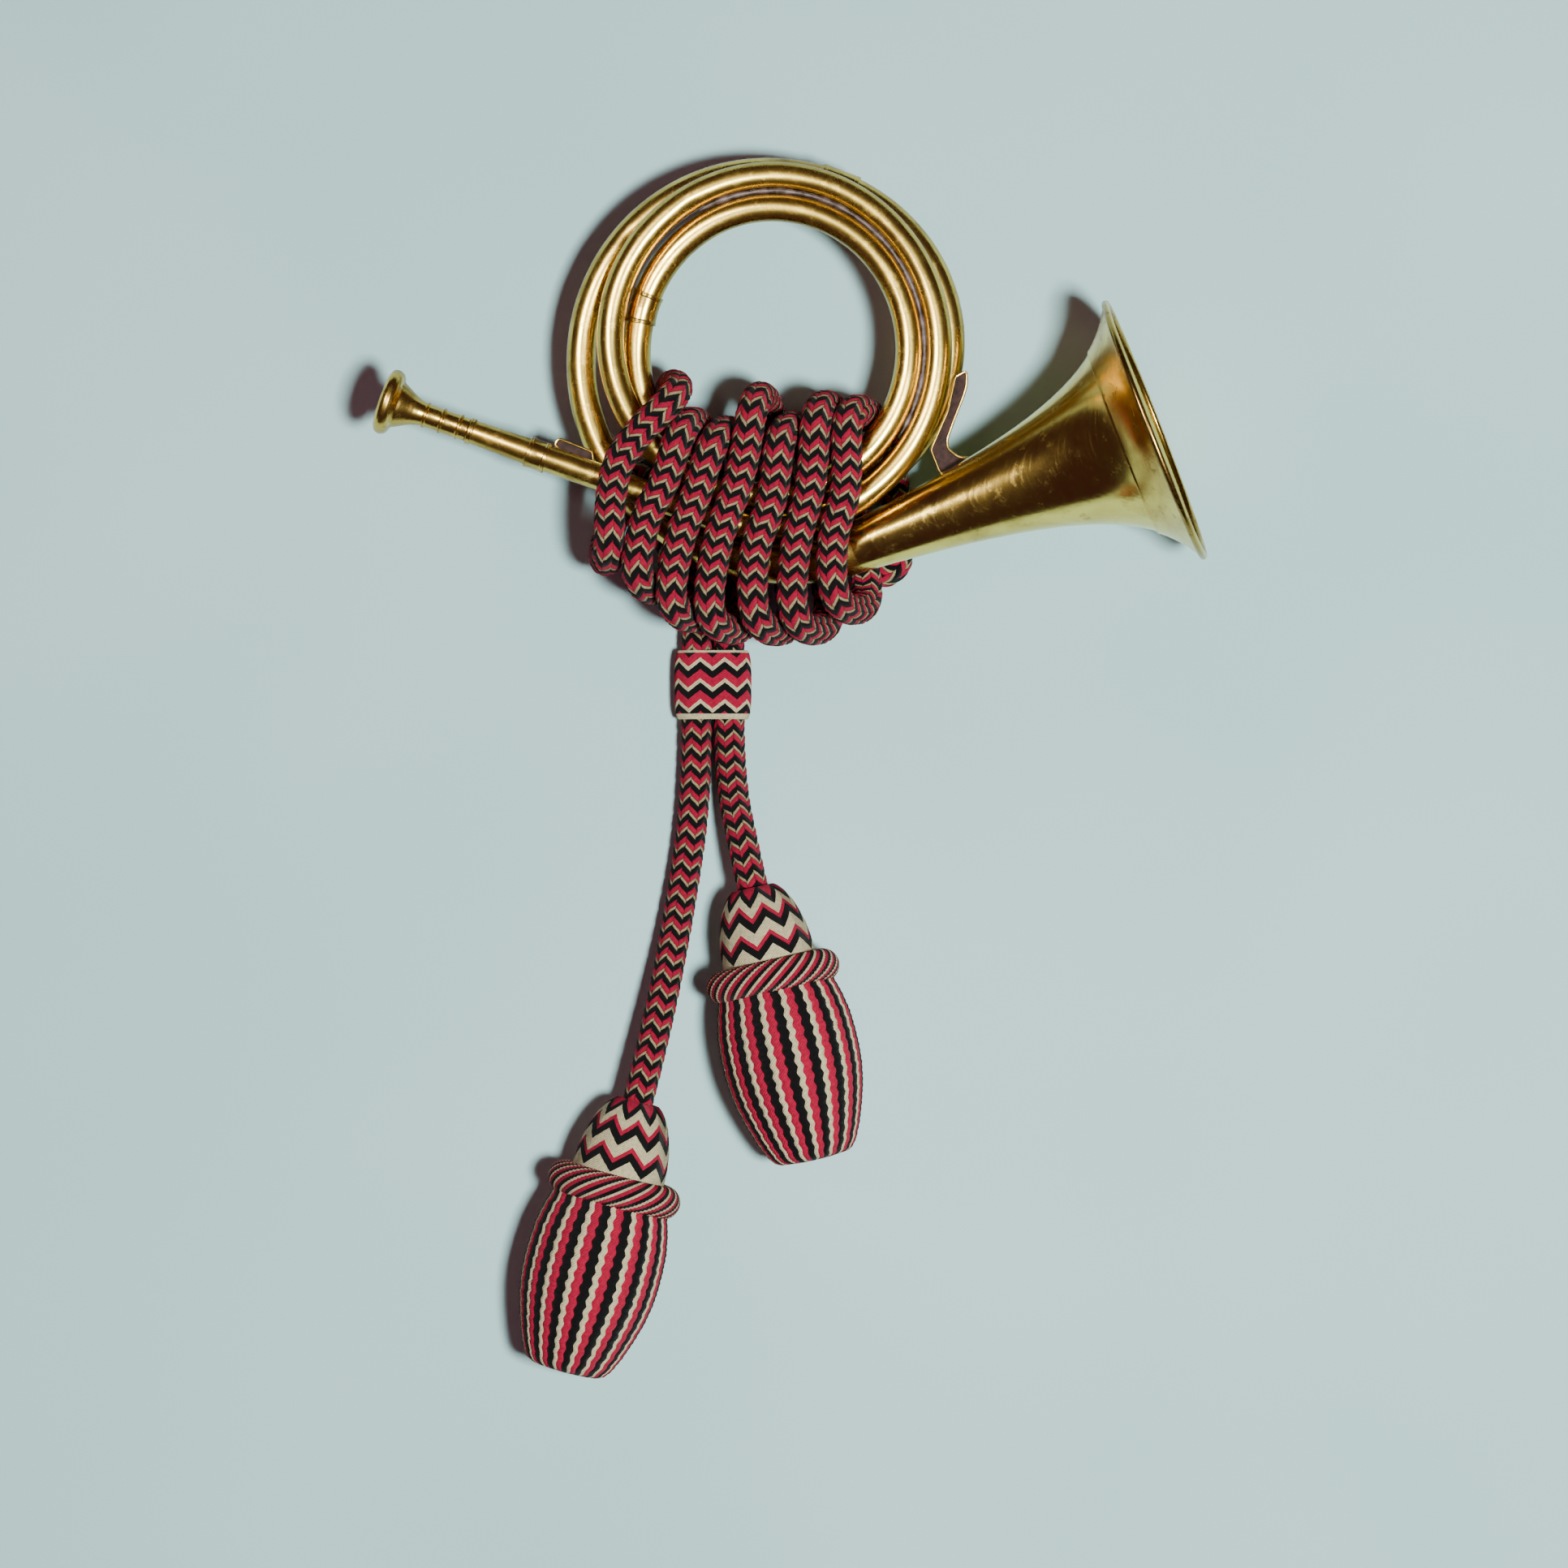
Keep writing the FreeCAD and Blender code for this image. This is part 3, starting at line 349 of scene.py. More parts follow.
def coil_points(angles):
    """Points of the centre line at angles round the coil, smooth through the stations."""
    angles = np.asarray(angles, float)
    t, p = TURNS[:, 0], TURNS[:, 1:]
    slope = np.zeros_like(p)
    slope[1:-1] = (p[2:] - p[:-2]) / (t[2:] - t[:-2])[:, None]
    slope[-1, 1] = math.tan(math.radians(BELL_PITCH)) * math.radians(BELL_RADIUS)
    k = np.clip(np.searchsorted(t, angles, side="right") - 1, 0, len(t) - 2)
    span = (t[k + 1] - t[k])[:, None]
    s = (angles - t[k])[:, None] / span
    found = (p[k] * (2 * s ** 3 - 3 * s ** 2 + 1) + p[k + 1] * (3 * s ** 2 - 2 * s ** 3)
             + span * slope[k] * (s ** 3 - 2 * s ** 2 + s) + span * slope[k + 1] * (s ** 3 - s ** 2))
    a = np.radians(angles)
    return np.stack([found[:, 0] * np.cos(a), found[:, 0] * np.sin(a), found[:, 1]], 1)


def directions_along(points):
    found = np.gradient(points, axis=0)
    return found / np.linalg.norm(found, axis=1)[:, None]


def tube_radius(angles):
    share = (np.asarray(angles) - LEAD_TURN) / (OUTER_JOINT - LEAD_TURN)
    end = TUBE_RADIUS + TUBE_GROWTH
    bow = np.clip((np.asarray(angles) - OUTER_JOINT) / (BELL_TURN - OUTER_JOINT), 0, 1)
    return np.where(share <= 1, TUBE_RADIUS + TUBE_GROWTH * share, end + (THROAT_RADIUS - end) * bow ** 5)


def dented(radii, angles, dents):
    """Shallow knocks: (place along, place round, size along, size round, depth)."""
    radii = np.asarray(radii, float)[:, None] * np.ones(64)
    turn = np.linspace(0, 2 * np.pi, 64, endpoint=False)
    for at, around, long, wide, depth in dents:
        a = (np.asarray(angles)[:, None] - at) / long
        b = (np.angle(np.exp(1j * (turn - around))))[None, :] / wide
        radii = radii - depth * np.exp(-(a ** 2 + b ** 2))
    return radii


def hollow_tube(name, centres, directions, radii, wall=0.5):
    """Outer skin and bore of a tube."""
    outer = sweep(name, centres, directions, radii, 64)
    plain = np.asarray(radii).mean(1) if np.ndim(radii) == 2 else np.asarray(radii)
    inner = sweep(name + "_bore", centres[::-1], directions[::-1], plain[::-1] - wall, 48)
    return joined(name, [outer, inner])


def brass_tubes(materials):
    straight = LEAD_JOINT + np.outer(np.linspace(0, 1, 24)[:-1], LEAD_FOOT - LEAD_JOINT)
    angles = np.arange(LEAD_TURN, INNER_JOINT, 1.5)
    centres = np.concatenate([straight, coil_points(angles)])
    radii = np.concatenate([np.full(len(straight), TUBE_RADIUS), tube_radius(angles)])
    places = np.concatenate([np.linspace(LEAD_TURN - 60, LEAD_TURN - 2, len(straight)), angles])
    radii = dented(radii, places, [(120, 2.2, 5, 0.5, 0.35), (300, 1.5, 4, 0.6, 0.2)])
    first = hollow_tube("first_branch_tube", centres, directions_along(centres), radii)
    angles = np.arange(INNER_JOINT, OUTER_JOINT + 0.1, 1.5)
    centres = coil_points(angles)
    radii = dented(tube_radius(angles), angles, [(700, 2.4, 5, 0.6, 0.25)])
    second = hollow_tube("second_branch_tube", centres, directions_along(centres), radii)
    angles = np.arange(OUTER_JOINT, BELL_TURN, 1.25)
    centres = np.concatenate([coil_points(angles), BELL_JOINT[None]])
    directions = directions_along(centres)
    directions[-1] = BELL_AXIS
    radii = np.append(tube_radius(angles), THROAT_RADIUS)
    places = np.append(angles, BELL_TURN)
    radii = dented(radii, places, [(862, 2.1, 3, 0.6, 0.5), (950, 1.4, 4, 0.6, 0.3)])
    third = hollow_tube("bell_branch_tube", centres, directions, radii)
    for obj, node in ((first, "first_branch"), (second, "second_branch"), (third, "bell_branch")):
        dress(obj, materials["tube"], "horn", "tube_brass", node)


def dress(obj, material, body, slot, *nodes):
    """Gives a piece its material and body, and hides the imported parts that it stands for."""
    obj.data.materials.clear()
    obj.data.materials.append(material)
    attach(obj, body)
    if nodes:
        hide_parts(*nodes)
    return obj


MOUTHPIPE_START = MOUTHPIECE_RIM + LEAD * 37.4
LEAD_JOINT = MOUTHPIPE_START + LEAD * 30.0


def rounded(corners, radius=0.25):
    """A profile whose corners are cut by a small round."""
    corners = [np.array(c, float) for c in corners]
    found = [corners[0]]
    for before, corner, after in zip(corners, corners[1:], corners[2:]):
        into, out = corner - before, after - corner
        reach = min(radius, length_of(into) * 0.45, length_of(out) * 0.45)
        start = corner - into / length_of(into) * reach
        end = corner + out / length_of(out) * reach
        for s in np.linspace(0, 1, 5):
            found.append(start * (1 - s) ** 2 + corner * 2 * s * (1 - s) + end * s ** 2)
    return np.array(found + [corners[-1]])


def mouthpiece_pieces(materials):
    cup = [(8.3 * math.cos(a) ** 0.6 if a < 1.2 else 1.9, 12 * math.sin(a)) for a in
           np.linspace(0, 1.25, 14)]
    outside = [(9.3, 0.1), (10.6, -0.05), (12.0, 0.15), (13.2, 1.1), (13.75, 2.4), (13.6, 3.9),
               (12.8, 5.3), (11.6, 6.1), (10.0, 6.5), (9.4, 7.2), (8.9, 8.4), (7.9, 10.2),
               (6.9, 12.0), (6.0, 14.0), (5.3, 16.0), (4.9, 17.6)]
    stem = []
    for at in (18.4, 25.4, 32.8):
        stem += [(4.78, at - 0.1), (5.35, at + 0.15), (5.45, at + 0.45), (5.05, at + 0.62),
                 (5.45, at + 0.8), (5.35, at + 1.1), (4.78, at + 1.35)]
    shank = [(4.75, 36.4), (4.75, 37.1), (4.1, 37.1), (3.85, 59.1), (3.2, 59.1), (1.9, 16.5),
             (1.9, 12.0)]
    profile = cup[:1] + outside + stem + shank
    piece = lathe("mouthpiece_turned", rounded(profile, 0.3), MOUTHPIECE_RIM, LEAD)
    bowl = [(1.9, 12.0), (2.6, 11.6), (4.2, 10.8), (5.6, 9.5), (6.6, 7.8), (7.3, 5.8), (7.8, 3.6),
            (8.1, 1.6), (8.5, 0.5), (9.3, 0.1)]
    inside = lathe("cup", bowl, MOUTHPIECE_RIM, LEAD)
    dress(joined("mouthpiece_turned", [piece, inside]), materials["fitting"], "mouthpiece",
          "fitting_brass", "mouthpiece")

    pipe = [(4.15, 0.2), (4.6, 0), (4.85, 0.25), (5.5, 26), (5.5, 30), (5.0, 30), (4.1, 24.7),
            (3.9, 22.7), (4.15, 0.2)]
    dress(lathe("mouthpipe_cone", rounded(pipe), MOUTHPIPE_START, LEAD), materials["tube"], "horn",
          "tube_brass", "mouthpipe")
    ring = [(4.9, 0.0), (5.3, 0.0), (5.55, 0.35), (5.5, 0.75), (5.15, 1.05), (5.5, 1.35),
            (5.55, 1.8), (5.3, 2.2), (4.95, 2.2)]
    dress(lathe("receiver_beads", ring, MOUTHPIPE_START, LEAD), materials["fitting"], "horn",
          "fitting_brass", "receiver_ring")


def sleeve_profile(radius, length):
    half = length / 2
    return [(radius + 0.05, -half), (radius + 0.75, -half + 0.05), (radius + 0.95, -half + 0.5),
            (radius + 0.7, -half + 0.9), (radius + 0.9, -half + 1.3), (radius + 0.6, -half + 1.8),
            (radius + 0.5, 0), (radius + 0.6, half - 1.8), (radius + 0.9, half - 1.3),
            (radius + 0.7, half - 0.9), (radius + 0.95, half - 0.5), (radius + 0.75, half - 0.05),
            (radius + 0.05, half)]


def ferrules(materials):
    straight = lathe("mouthpipe_sleeve", rounded(sleeve_profile(TUBE_RADIUS, 8.6)), LEAD_JOINT, LEAD)
    dress(straight, materials["fitting"], "horn", "fitting_brass", "mouthpipe_ferrule")
    for name, joint, length in (("inner_ferrule", INNER_JOINT, 13.0),
                                ("outer_ferrule", OUTER_JOINT, 15.0)):
        profile = rounded(sleeve_profile(0, length), 0.2)
        radius = TURNS[:, 1][np.searchsorted(TURNS[:, 0], joint)]
        angles = joint + np.degrees(profile[:, 1] / radius)
        centres = coil_points(angles)
        ahead = coil_points(angles + 0.2) - coil_points(angles - 0.2)
        ahead /= np.linalg.norm(ahead, axis=1)[:, None]
        sleeve = sweep(name + "_sleeve", centres, ahead, tube_radius(angles) + profile[:, 0], 64)
        dress(sleeve, materials["fitting"], "horn", "fitting_brass", name)


def flare(depth):
    def raw(d):
        return (BELL_REACH / (BELL_REACH + d)) ** BELL_POWER

    share = (raw(depth) - raw(BELL_LENGTH)) / (1 - raw(BELL_LENGTH))
    return THROAT_RADIUS + (MOUTH_RADIUS - THROAT_RADIUS) * share


def flare_normal(depth):
    """Outward normal of the bell's skin, as (across, along the axis to the mouth)."""
    slope = (flare(depth + 0.01) - flare(depth - 0.01)) / 0.02
    normal = np.stack([np.ones_like(slope), slope], 1)
    return normal / np.linalg.norm(normal, axis=1)[:, None]


def bell_skin(name, depths, offset, sides=192, flip=False):
    depths = np.asarray(depths, float)
    normal = flare_normal(depths) * offset
    radii = flare(depths) + normal[:, 0]
    way = -depths + normal[:, 1]
    if flip:
        radii, way = radii[::-1], way[::-1]
    turn = np.linspace(0, 2 * np.pi, sides, endpoint=False)
    uneven = 1 + 0.0035 * np.sin(2 * turn + 0.6)[None, :] * (radii[:, None] / MOUTH_RADIUS) ** 2
    centres = BELL_MOUTH + np.outer(way, BELL_AXIS)
    return sweep(name, centres, [BELL_AXIS] * len(radii), radii[:, None] * uneven, sides)


def bell_pieces(materials):
    depths = BELL_LENGTH * np.linspace(0, 1, 90) ** 1.7
    depths[0] = 0.45
    inner = bell_skin("bell_inside", depths, -0.45, flip=True)
    outer = bell_skin("bell_outside", depths, 0.0)
    dress(joined("bell_flare", [outer, inner]), materials["bell"], "horn", "bell_brass", "bell")
    edge = np.concatenate([np.linspace(0.9, 12.6, 26), [13.0, 13.3, 13.5]])
    lift = np.concatenate([np.full(26, 0.62), [0.9, 0.75, 0.1]])
    band = bell_skin("garland_outside", edge, lift[:, None] * np.ones(2))
    dress(band, materials["garland"], "horn", "fitting_brass", "garland")
    turn = np.linspace(0, 2 * np.pi, 192, endpoint=False)
    small = np.linspace(0, 2 * np.pi, 16, endpoint=False)
    level, up = level_frame(BELL_AXIS)
    out = np.outer(np.cos(turn), level) + np.outer(np.sin(turn), up)
    oval = 1 + 0.0035 * np.sin(2 * turn + 0.6)
    middle = (MOUTH_RADIUS - RIM_INSET) * oval
    rows = [BELL_MOUTH + out[k] * middle[k] + np.outer(np.cos(small) * RIM_WIRE, out[k])
            + np.outer(np.sin(small) * RIM_WIRE, BELL_AXIS) for k in range(len(turn))]
    ring = grid("rim_roll", rows, close=True)
    dress(ring, materials["fitting"], "horn", "fitting_brass", "rim_wire")


def solder_line(materials):
    """The thin dull line of solder between the two front turns."""
    angles = np.arange(-34, 118, 1.5)
    near, far = coil_points(angles + 360), coil_points(angles)
    share = (tube_radius(angles + 360) / (tube_radius(angles) + tube_radius(angles + 360)))[:, None]
    centres = near + (far - near) * share + [0, 0, 1.6]
    wide = 1.15 + 0.25 * np.sin(angles * 0.31) + 0.15 * np.sin(angles * 0.83)
    wide[:3] *= [0.2, 0.5, 0.8]
    wide[-3:] *= [0.8, 0.5, 0.2]
    bead = sweep("solder_line", centres, directions_along(centres), wide, 16)
    dress(bead, materials["solder"], "horn", "tube_brass")


# The cord: a route of control points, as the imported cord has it
EXIT_X, EXIT_Y, EXIT_Z, HALF_GAP = -24.0, -122.4, 8.9, 6.8
STRAIGHT, OVER, UNDER, FLOOR = 13.2, 59.8, 20.3, 6.6
CORD = 13.0
TOPS = [
    (-49.9, -32.7), (-40.9, -50.5), (-27.6, -54.3), (-9.5, -40.4),
    (2.5, -53.2), (17.8, -44.4), (31.5, -51.4),
]
BOTTOMS = [
    (-65.0, -64.0), (-52.4, -78.1), (-38.7, -89.0), (-23.9, -94.0),
    (-7.2, -94.7), (9.2, -94.4), (25.0, -86.3),
]
TOP_TURNS = [-136.1, -106.8, -106.6, -97.9, -94.9, -92.0, -87.7]
BOTTOM_TURNS = [-91.2, -99.8, -98.7, -97.1, -89.9, -92.5, -89.5]
BEHIND_TOPS = [-40.8, -25.2, -10.4, 2.0, 17.7, 30.5, 52.5]
BEHIND_STEPS = [10.8, 13.0, 13.0, 14.8, 13.5, 13.5]
LEFT_RETURN = [(-61.4, -57.0), 69.9, (-40.3, -57.9), -75.0]


def point(x, y, z):
    return np.array([x, y, z], float)


def winding_stations():
    """Points and directions that the winding passes, from the right cord to the left one."""
    x, y = EXIT_X, EXIT_Y
    found = [(point(x + HALF_GAP, y + STRAIGHT, EXIT_Z), unit(90)),
             (point(x + HALF_GAP, y + 2.5 * STRAIGHT, FLOOR), unit(88))]
    for i in reversed(range(len(TOPS))):
        last = i == len(TOPS) - 1
        top = point(BEHIND_TOPS[i], TOPS[i][1] - (7.3 if last else 0), FLOOR if last else UNDER)
        found.append((top, unit(96)))
        found.append((point(*TOPS[i], OVER), unit(TOP_TURNS[i])))
        found.append((point(*BOTTOMS[i], OVER), unit(BOTTOM_TURNS[i])))
        if i:
            behind = BOTTOMS[i][0] + BEHIND_STEPS[i - 1]
            found.append((point(behind, BOTTOMS[i][1], UNDER), unit(100)))
    found.append((point(*LEFT_RETURN[0], FLOOR), unit(LEFT_RETURN[1])))
    found.append((point(*LEFT_RETURN[2], FLOOR), unit(LEFT_RETURN[3])))
    found.append((point(x - HALF_GAP, y + STRAIGHT, EXIT_Z), unit(-90)))
    return found


def corners_between(start, leave, end, arrive):
    """The two corners that the cord rounds between a station and the next."""
    gap = end - start
    a = 2 * (leave @ arrive - 1)
    b = -2 * gap @ (leave + arrive)
    c = gap @ gap
    root = math.sqrt(b * b - 4 * a * c)
    reach = max((-b - root) / (2 * a), (-b + root) / (2 * a))
    return [start + leave * reach, end - arrive * reach]


def tassel_frame(side):
    x, y, angle = {"left": (-54.7, -310.7, -105.2), "right": (-7.3, -222.3, -77.1)}[side]
    direction = unit(angle, 2.2)
    height = 28.75 - 0.5 - 72 * math.sin(math.radians(2.2))
    return point(x, y, height), direction


def route_points():
    x, y = EXIT_X, EXIT_Y
    top, way = tassel_frame("right")
    found = [top + way * 14, top - way * 15, point(x + HALF_GAP, -176, EXIT_Z),
             point(x + HALF_GAP, y, EXIT_Z)]
    passed = winding_stations()
    for (start, leave), (end, arrive) in zip(passed, passed[1:]):
        found += corners_between(start, leave, end, arrive)
    top, way = tassel_frame("left")
    found += [point(x - HALF_GAP, y, EXIT_Z), point(x - HALF_GAP, -184, EXIT_Z),
              point(-37.4, -230, EXIT_Z), top - way * 25, top + way * 14]
    return found


def nurbs_points(name, points):
    """The smooth line that a NURBS spline makes of control points, in millimetres."""
    curve = bpy.data.curves.new(name, "CURVE")
    curve.dimensions = "3D"
    spline = curve.splines.new("NURBS")
    spline.points.add(len(points) - 1)
    for target, source in zip(spline.points, to_row(points)):
        target.co = (*source, 1)
    spline.order_u = 3
    spline.use_endpoint_u = True
    spline.resolution_u = 24
    holder = bpy.data.objects.new(name, curve)
    bpy.context.scene.collection.objects.link(holder)
    line = bpy.data.meshes.new_from_object(holder.evaluated_get(
        bpy.context.evaluated_depsgraph_get()))
    found = np.zeros(len(line.vertices) * 3)
    line.vertices.foreach_get("co", found)
    bpy.data.objects.remove(holder)
    bpy.data.meshes.remove(line)
    return found.reshape(-1, 3) / MM + ORIGIN


def even(points, step):
    lengths = np.concatenate([[0], np.cumsum(np.linalg.norm(np.diff(points, axis=0), axis=1))])
    along = np.linspace(0, lengths[-1], int(lengths[-1] / step) + 1)
    return np.stack([np.interp(along, lengths, points[:, k]) for k in range(3)], 1), along


def carried_frames(points):
    """Directions along a line, with a side direction that turns with it and never twists."""
    ahead = directions_along(points)
    side = np.zeros_like(points)
    side[0] = level_frame(ahead[0])[0]
    for k in range(1, len(points)):
        moved = side[k - 1] - ahead[k] * (side[k - 1] @ ahead[k])
        side[k] = moved / length_of(moved)
    return ahead, side, np.cross(ahead, side)


def domed(share, low, high):
    """A half round over one band of a repeat, and nought outside it."""
    x = (share - low) / (high - low) * 2 - 1
    return np.sqrt(np.clip(1 - x * x, 0, 1))


def zigzag(columns, waves):
    """How far each column of a skin is up its zigzag's arm, from 0 to a half."""
    return np.abs((np.arange(columns) / columns * waves + 0.5) % 1 - 0.5)


# Braid: rows of zigzags run round the cord, each a row of plump stitches
BRAID_WAVES, BRAID_RISE, BRAID_REPEAT, BRAID_STEP = 5, 3.4, 6.9, 0.13
BRAID_BANDS = ((0.0, 0.40, 0.0), (0.40, 0.79, 0.1), (0.79, 1.0, -0.08))
BRAID_CORE, BRAID_RELIEF = CORD / 2 - 0.6, 0.9
BRAID_SIDES, BRAID_ROW = 54, 0.57


def braid_height(phase, around, waves):
    """How far the stitches stand out: plump across each band, pinched where they turn."""
    share = phase % 1.0
    height = np.zeros_like(share)
    for low, high, extra in BRAID_BANDS:
        inside = (share >= low) & (share < high)
        plump = domed(share, low, high) * (high - low) * 1.6 + extra
        height = np.where(inside, plump, height)
    fold = np.abs(((around * waves * 2) % 1.0) - 0.5) * 2
    return height - 0.35 * np.exp(-((1 - fold) / 0.22) ** 2)


def braided_cord(materials):
    line, along = even(nurbs_points("cord_route", route_points()), BRAID_ROW)
    _, side, up = carried_frames(line)
    turn = np.arange(BRAID_SIDES) / BRAID_SIDES
    arm = (turn * BRAID_WAVES) % 1.0 > 0.5
    lead = zigzag(BRAID_SIDES, BRAID_WAVES) * 2 * BRAID_RISE / BRAID_REPEAT + arm * BRAID_STEP
    phase = along[:, None] / BRAID_REPEAT + lead[None, :]
    radius = BRAID_CORE + BRAID_RELIEF * braid_height(phase, turn[None, :], BRAID_WAVES)
    a = turn * 2 * np.pi
    points = (line[:, None] + side[:, None] * (np.cos(a) * radius)[:, :, None]
              + up[:, None] * (np.sin(a) * radius)[:, :, None])
    cord = grid("braided_cord", points, along)
    dress(cord, materials["cord"], "horn", "cord_braid", "cord")


SLIDER_LENGTH, SLIDER_WIDTH, SLIDER_THICK, SLIDER_MIDDLE = 28.7, 32.0, 17.8, -138.0
SLIDER_WAVES, SLIDER_RISE, SLIDER_REPEAT, SLIDER_THREADS = 8, 4.0, 8.7, 9


def slider_outline(cols):
    """The section of the sleeve, (across, up), with its points evenly spaced."""
    flat = (SLIDER_WIDTH - SLIDER_THICK) / 2
    turn = np.linspace(0, 2 * np.pi, 1441)
    hug = 1 - 0.08 * np.exp(-((np.cos(turn)) / 0.28) ** 2)
    outline = np.stack([np.sign(np.cos(turn)) * flat * np.abs(np.cos(turn)) ** 0.35
                        + np.cos(turn) * SLIDER_THICK / 2,
                        np.sin(turn) * SLIDER_THICK / 2 * hug], 1)
    reach = np.concatenate([[0], np.cumsum(np.linalg.norm(np.diff(outline, axis=0), axis=1))])
    spots = np.linspace(0, reach[-1], cols, endpoint=False)
    return np.stack([np.interp(spots, reach, outline[:, k]) for k in (0, 1)], 1)


def slider(materials):
    """The woven sleeve: a flattened tube that the cords fill, a little pinched at its ends."""
    length = SLIDER_LENGTH
    rows, cols = 96, 240
    along = np.linspace(0, length, rows)
    share = along / length * 2 - 1
    fullness = 1 - 0.07 * share ** 6 - 0.02 * share ** 2
    outline = slider_outline(cols)
    points = np.zeros((rows, cols, 3))
    lead = zigzag(cols, SLIDER_WAVES) * 2 * SLIDER_RISE
    phase = (along[:, None] + lead[None, :]) / SLIDER_REPEAT
    ribs = 0.10 * np.sin(phase * SLIDER_THREADS * 2 * np.pi)
    for k in range(rows):
        ring = outline * fullness[k] * (1 + ribs[k][:, None] / 12)
        points[k, :, 0] = EXIT_X + ring[:, 0]
        points[k, :, 1] = SLIDER_MIDDLE + length / 2 - along[k]
        points[k, :, 2] = EXIT_Z + ring[:, 1]
    inside = np.stack([points[-1] * 0.97 + np.array([EXIT_X, points[-1, 0, 1], EXIT_Z]) * 0.03,
                       points[0] * 0.97 + np.array([EXIT_X, points[0, 0, 1], EXIT_Z]) * 0.03])
    skin = np.concatenate([inside[1:], points, inside[:1]])
    reach = np.concatenate([[-0.4], along, [length + 0.4]])
    dress(grid("woven_slider", skin, reach), materials["slider"], "slider", "slider_weave",
          "cord_slider")


PLAIT_EDGES = (0.0, 0.40, 0.64)
STRAND_EDGES = (0.0, 0.38, 0.62)
PLAIT_STRIPES, PLAIT_SWAY, PLAIT_PITCH = 51, 0.12, 4.8
RING_PLACE, RING_RADIUS, ROPE_CORE, STRAND_RELIEF = 37.5, 21.2, 6.1, 0.8
RING_STRANDS, RING_TWISTS = 75, 24
HEAD_WAVES, HEAD_RISE, HEAD_RIB = 9, 6.0, 1.05


def barrel_radius(t):
    return np.interp(t, [38, 43, 50, 58, 66, 73, 80, 88, 96, 104, 110, 113, 115],
                     [23.0, 24.4, 26.6, 28.2, 28.7, 28.75, 28.3, 26.9, 24.6, 21.8, 19.0, 16.8, 13.5])


def flattened(points):
    """Nothing reaches below the floor that the tassel lies on."""
    points[..., 2] = np.maximum(points[..., 2], 0.02)
    return points


def turned_points(top, way, radii, places, cols):
    level, up = level_frame(way)
    turn = np.arange(cols) / cols * 2 * np.pi
    out = np.outer(np.cos(turn), level) + np.outer(np.sin(turn), up)
    return top + places[:, None, None] * way + radii[:, :, None] * out[None]


def tassel_head(name, top, way, materials):
    places = np.concatenate([[0.3, 0.0], np.linspace(0.4, 32.2, 110)])
    base = np.interp(places, [0, 1.5, 4, 8, 12, 18, 24, 31, 32.2],
                     [8.8, 10.7, 12.7, 14.9, 16.4, 18.1, 19.0, 19.4, 19.2])
    base[0] = 6.7
    cols = 216
    lead = zigzag(cols, HEAD_WAVES) * 2 * HEAD_RISE
    rib = 0.16 * np.sin((places[:, None] + lead) / HEAD_RIB * 2 * np.pi)
    rib[:2] = 0
    head = grid(name + "weave", turned_points(top, way, base[:, None] + rib, places, cols), places)
    dress(head, materials["head"], "horn", "head_weave", name + "head")


def tassel_ring(name, top, way, materials):
    """A rope of three colours of strand, laid round the barrel's shoulder."""
    around, cross = 560, 40
    theta = np.arange(around) / around * 2 * np.pi
    phi = np.arange(cross) / cross * 2 * np.pi
    phase = (RING_STRANDS * theta[:, None] + RING_TWISTS * phi[None, :]) / (2 * np.pi)
    share = (phase / 3) % 1
    rope = np.full_like(share, ROPE_CORE)
    for low, high in zip(STRAND_EDGES, STRAND_EDGES[1:] + (1.0,)):
        rope = np.maximum(rope, ROPE_CORE + STRAND_RELIEF * domed(share, low, high))
    level, up = level_frame(way)
    out = np.outer(np.cos(theta), level) + np.outer(np.sin(theta), up)
    major = RING_RADIUS + np.cos(phi)[None, :] * rope
    ring = (top + (RING_PLACE + np.sin(phi)[None, :, None] * rope[:, :, None]) * way
            + out[:, None] * major[:, :, None])
    obj = grid(name + "rope_ring", flattened(ring), np.arange(around) / around, close=True)
    dress(obj, materials["ring"], "horn", "ring_rope", name + "ring")


def tassel_body(name, top, way, materials):
    """The barrel's cover: plaited stripes, ridged where each bulges."""
    cols = 408
    places = np.concatenate([np.linspace(38, 112, 150), [113.2, 114.3, 115.0, 115.3]])
    radius = barrel_radius(np.minimum(places, 115))
    radius[-3:] = [14.5, 9.0, 0.5]
    u = np.arange(cols) / cols
    sway = PLAIT_SWAY * np.sin(places / PLAIT_PITCH * 2 * np.pi)[:, None]
    share = ((u[None, :] * PLAIT_STRIPES + sway) / 3) % 1
    ridge = np.zeros_like(share)
    for low, high in zip(PLAIT_EDGES, PLAIT_EDGES[1:] + (1.0,)):
        ridge = np.maximum(ridge, domed(share, low, high) * (0.7 + 0.6 * (high - low)))
    knot = 0.88 + 0.12 * np.sin(places / PLAIT_PITCH * 4 * np.pi)[:, None]
    ridge = ridge * knot
    ridge[-2:] *= 0.3
    body = turned_points(top, way, radius[:, None] - 0.9 + ridge, places, cols)
    obj = grid(name + "plait", flattened(body), places)
    dress(obj, materials["body"], "horn", "body_plait", name + "body")


def tassel(side, materials):
    top, way = tassel_frame(side)
    for make in (tassel_head, tassel_ring, tassel_body):
        make("tassel_%s_" % side, top, way, materials)


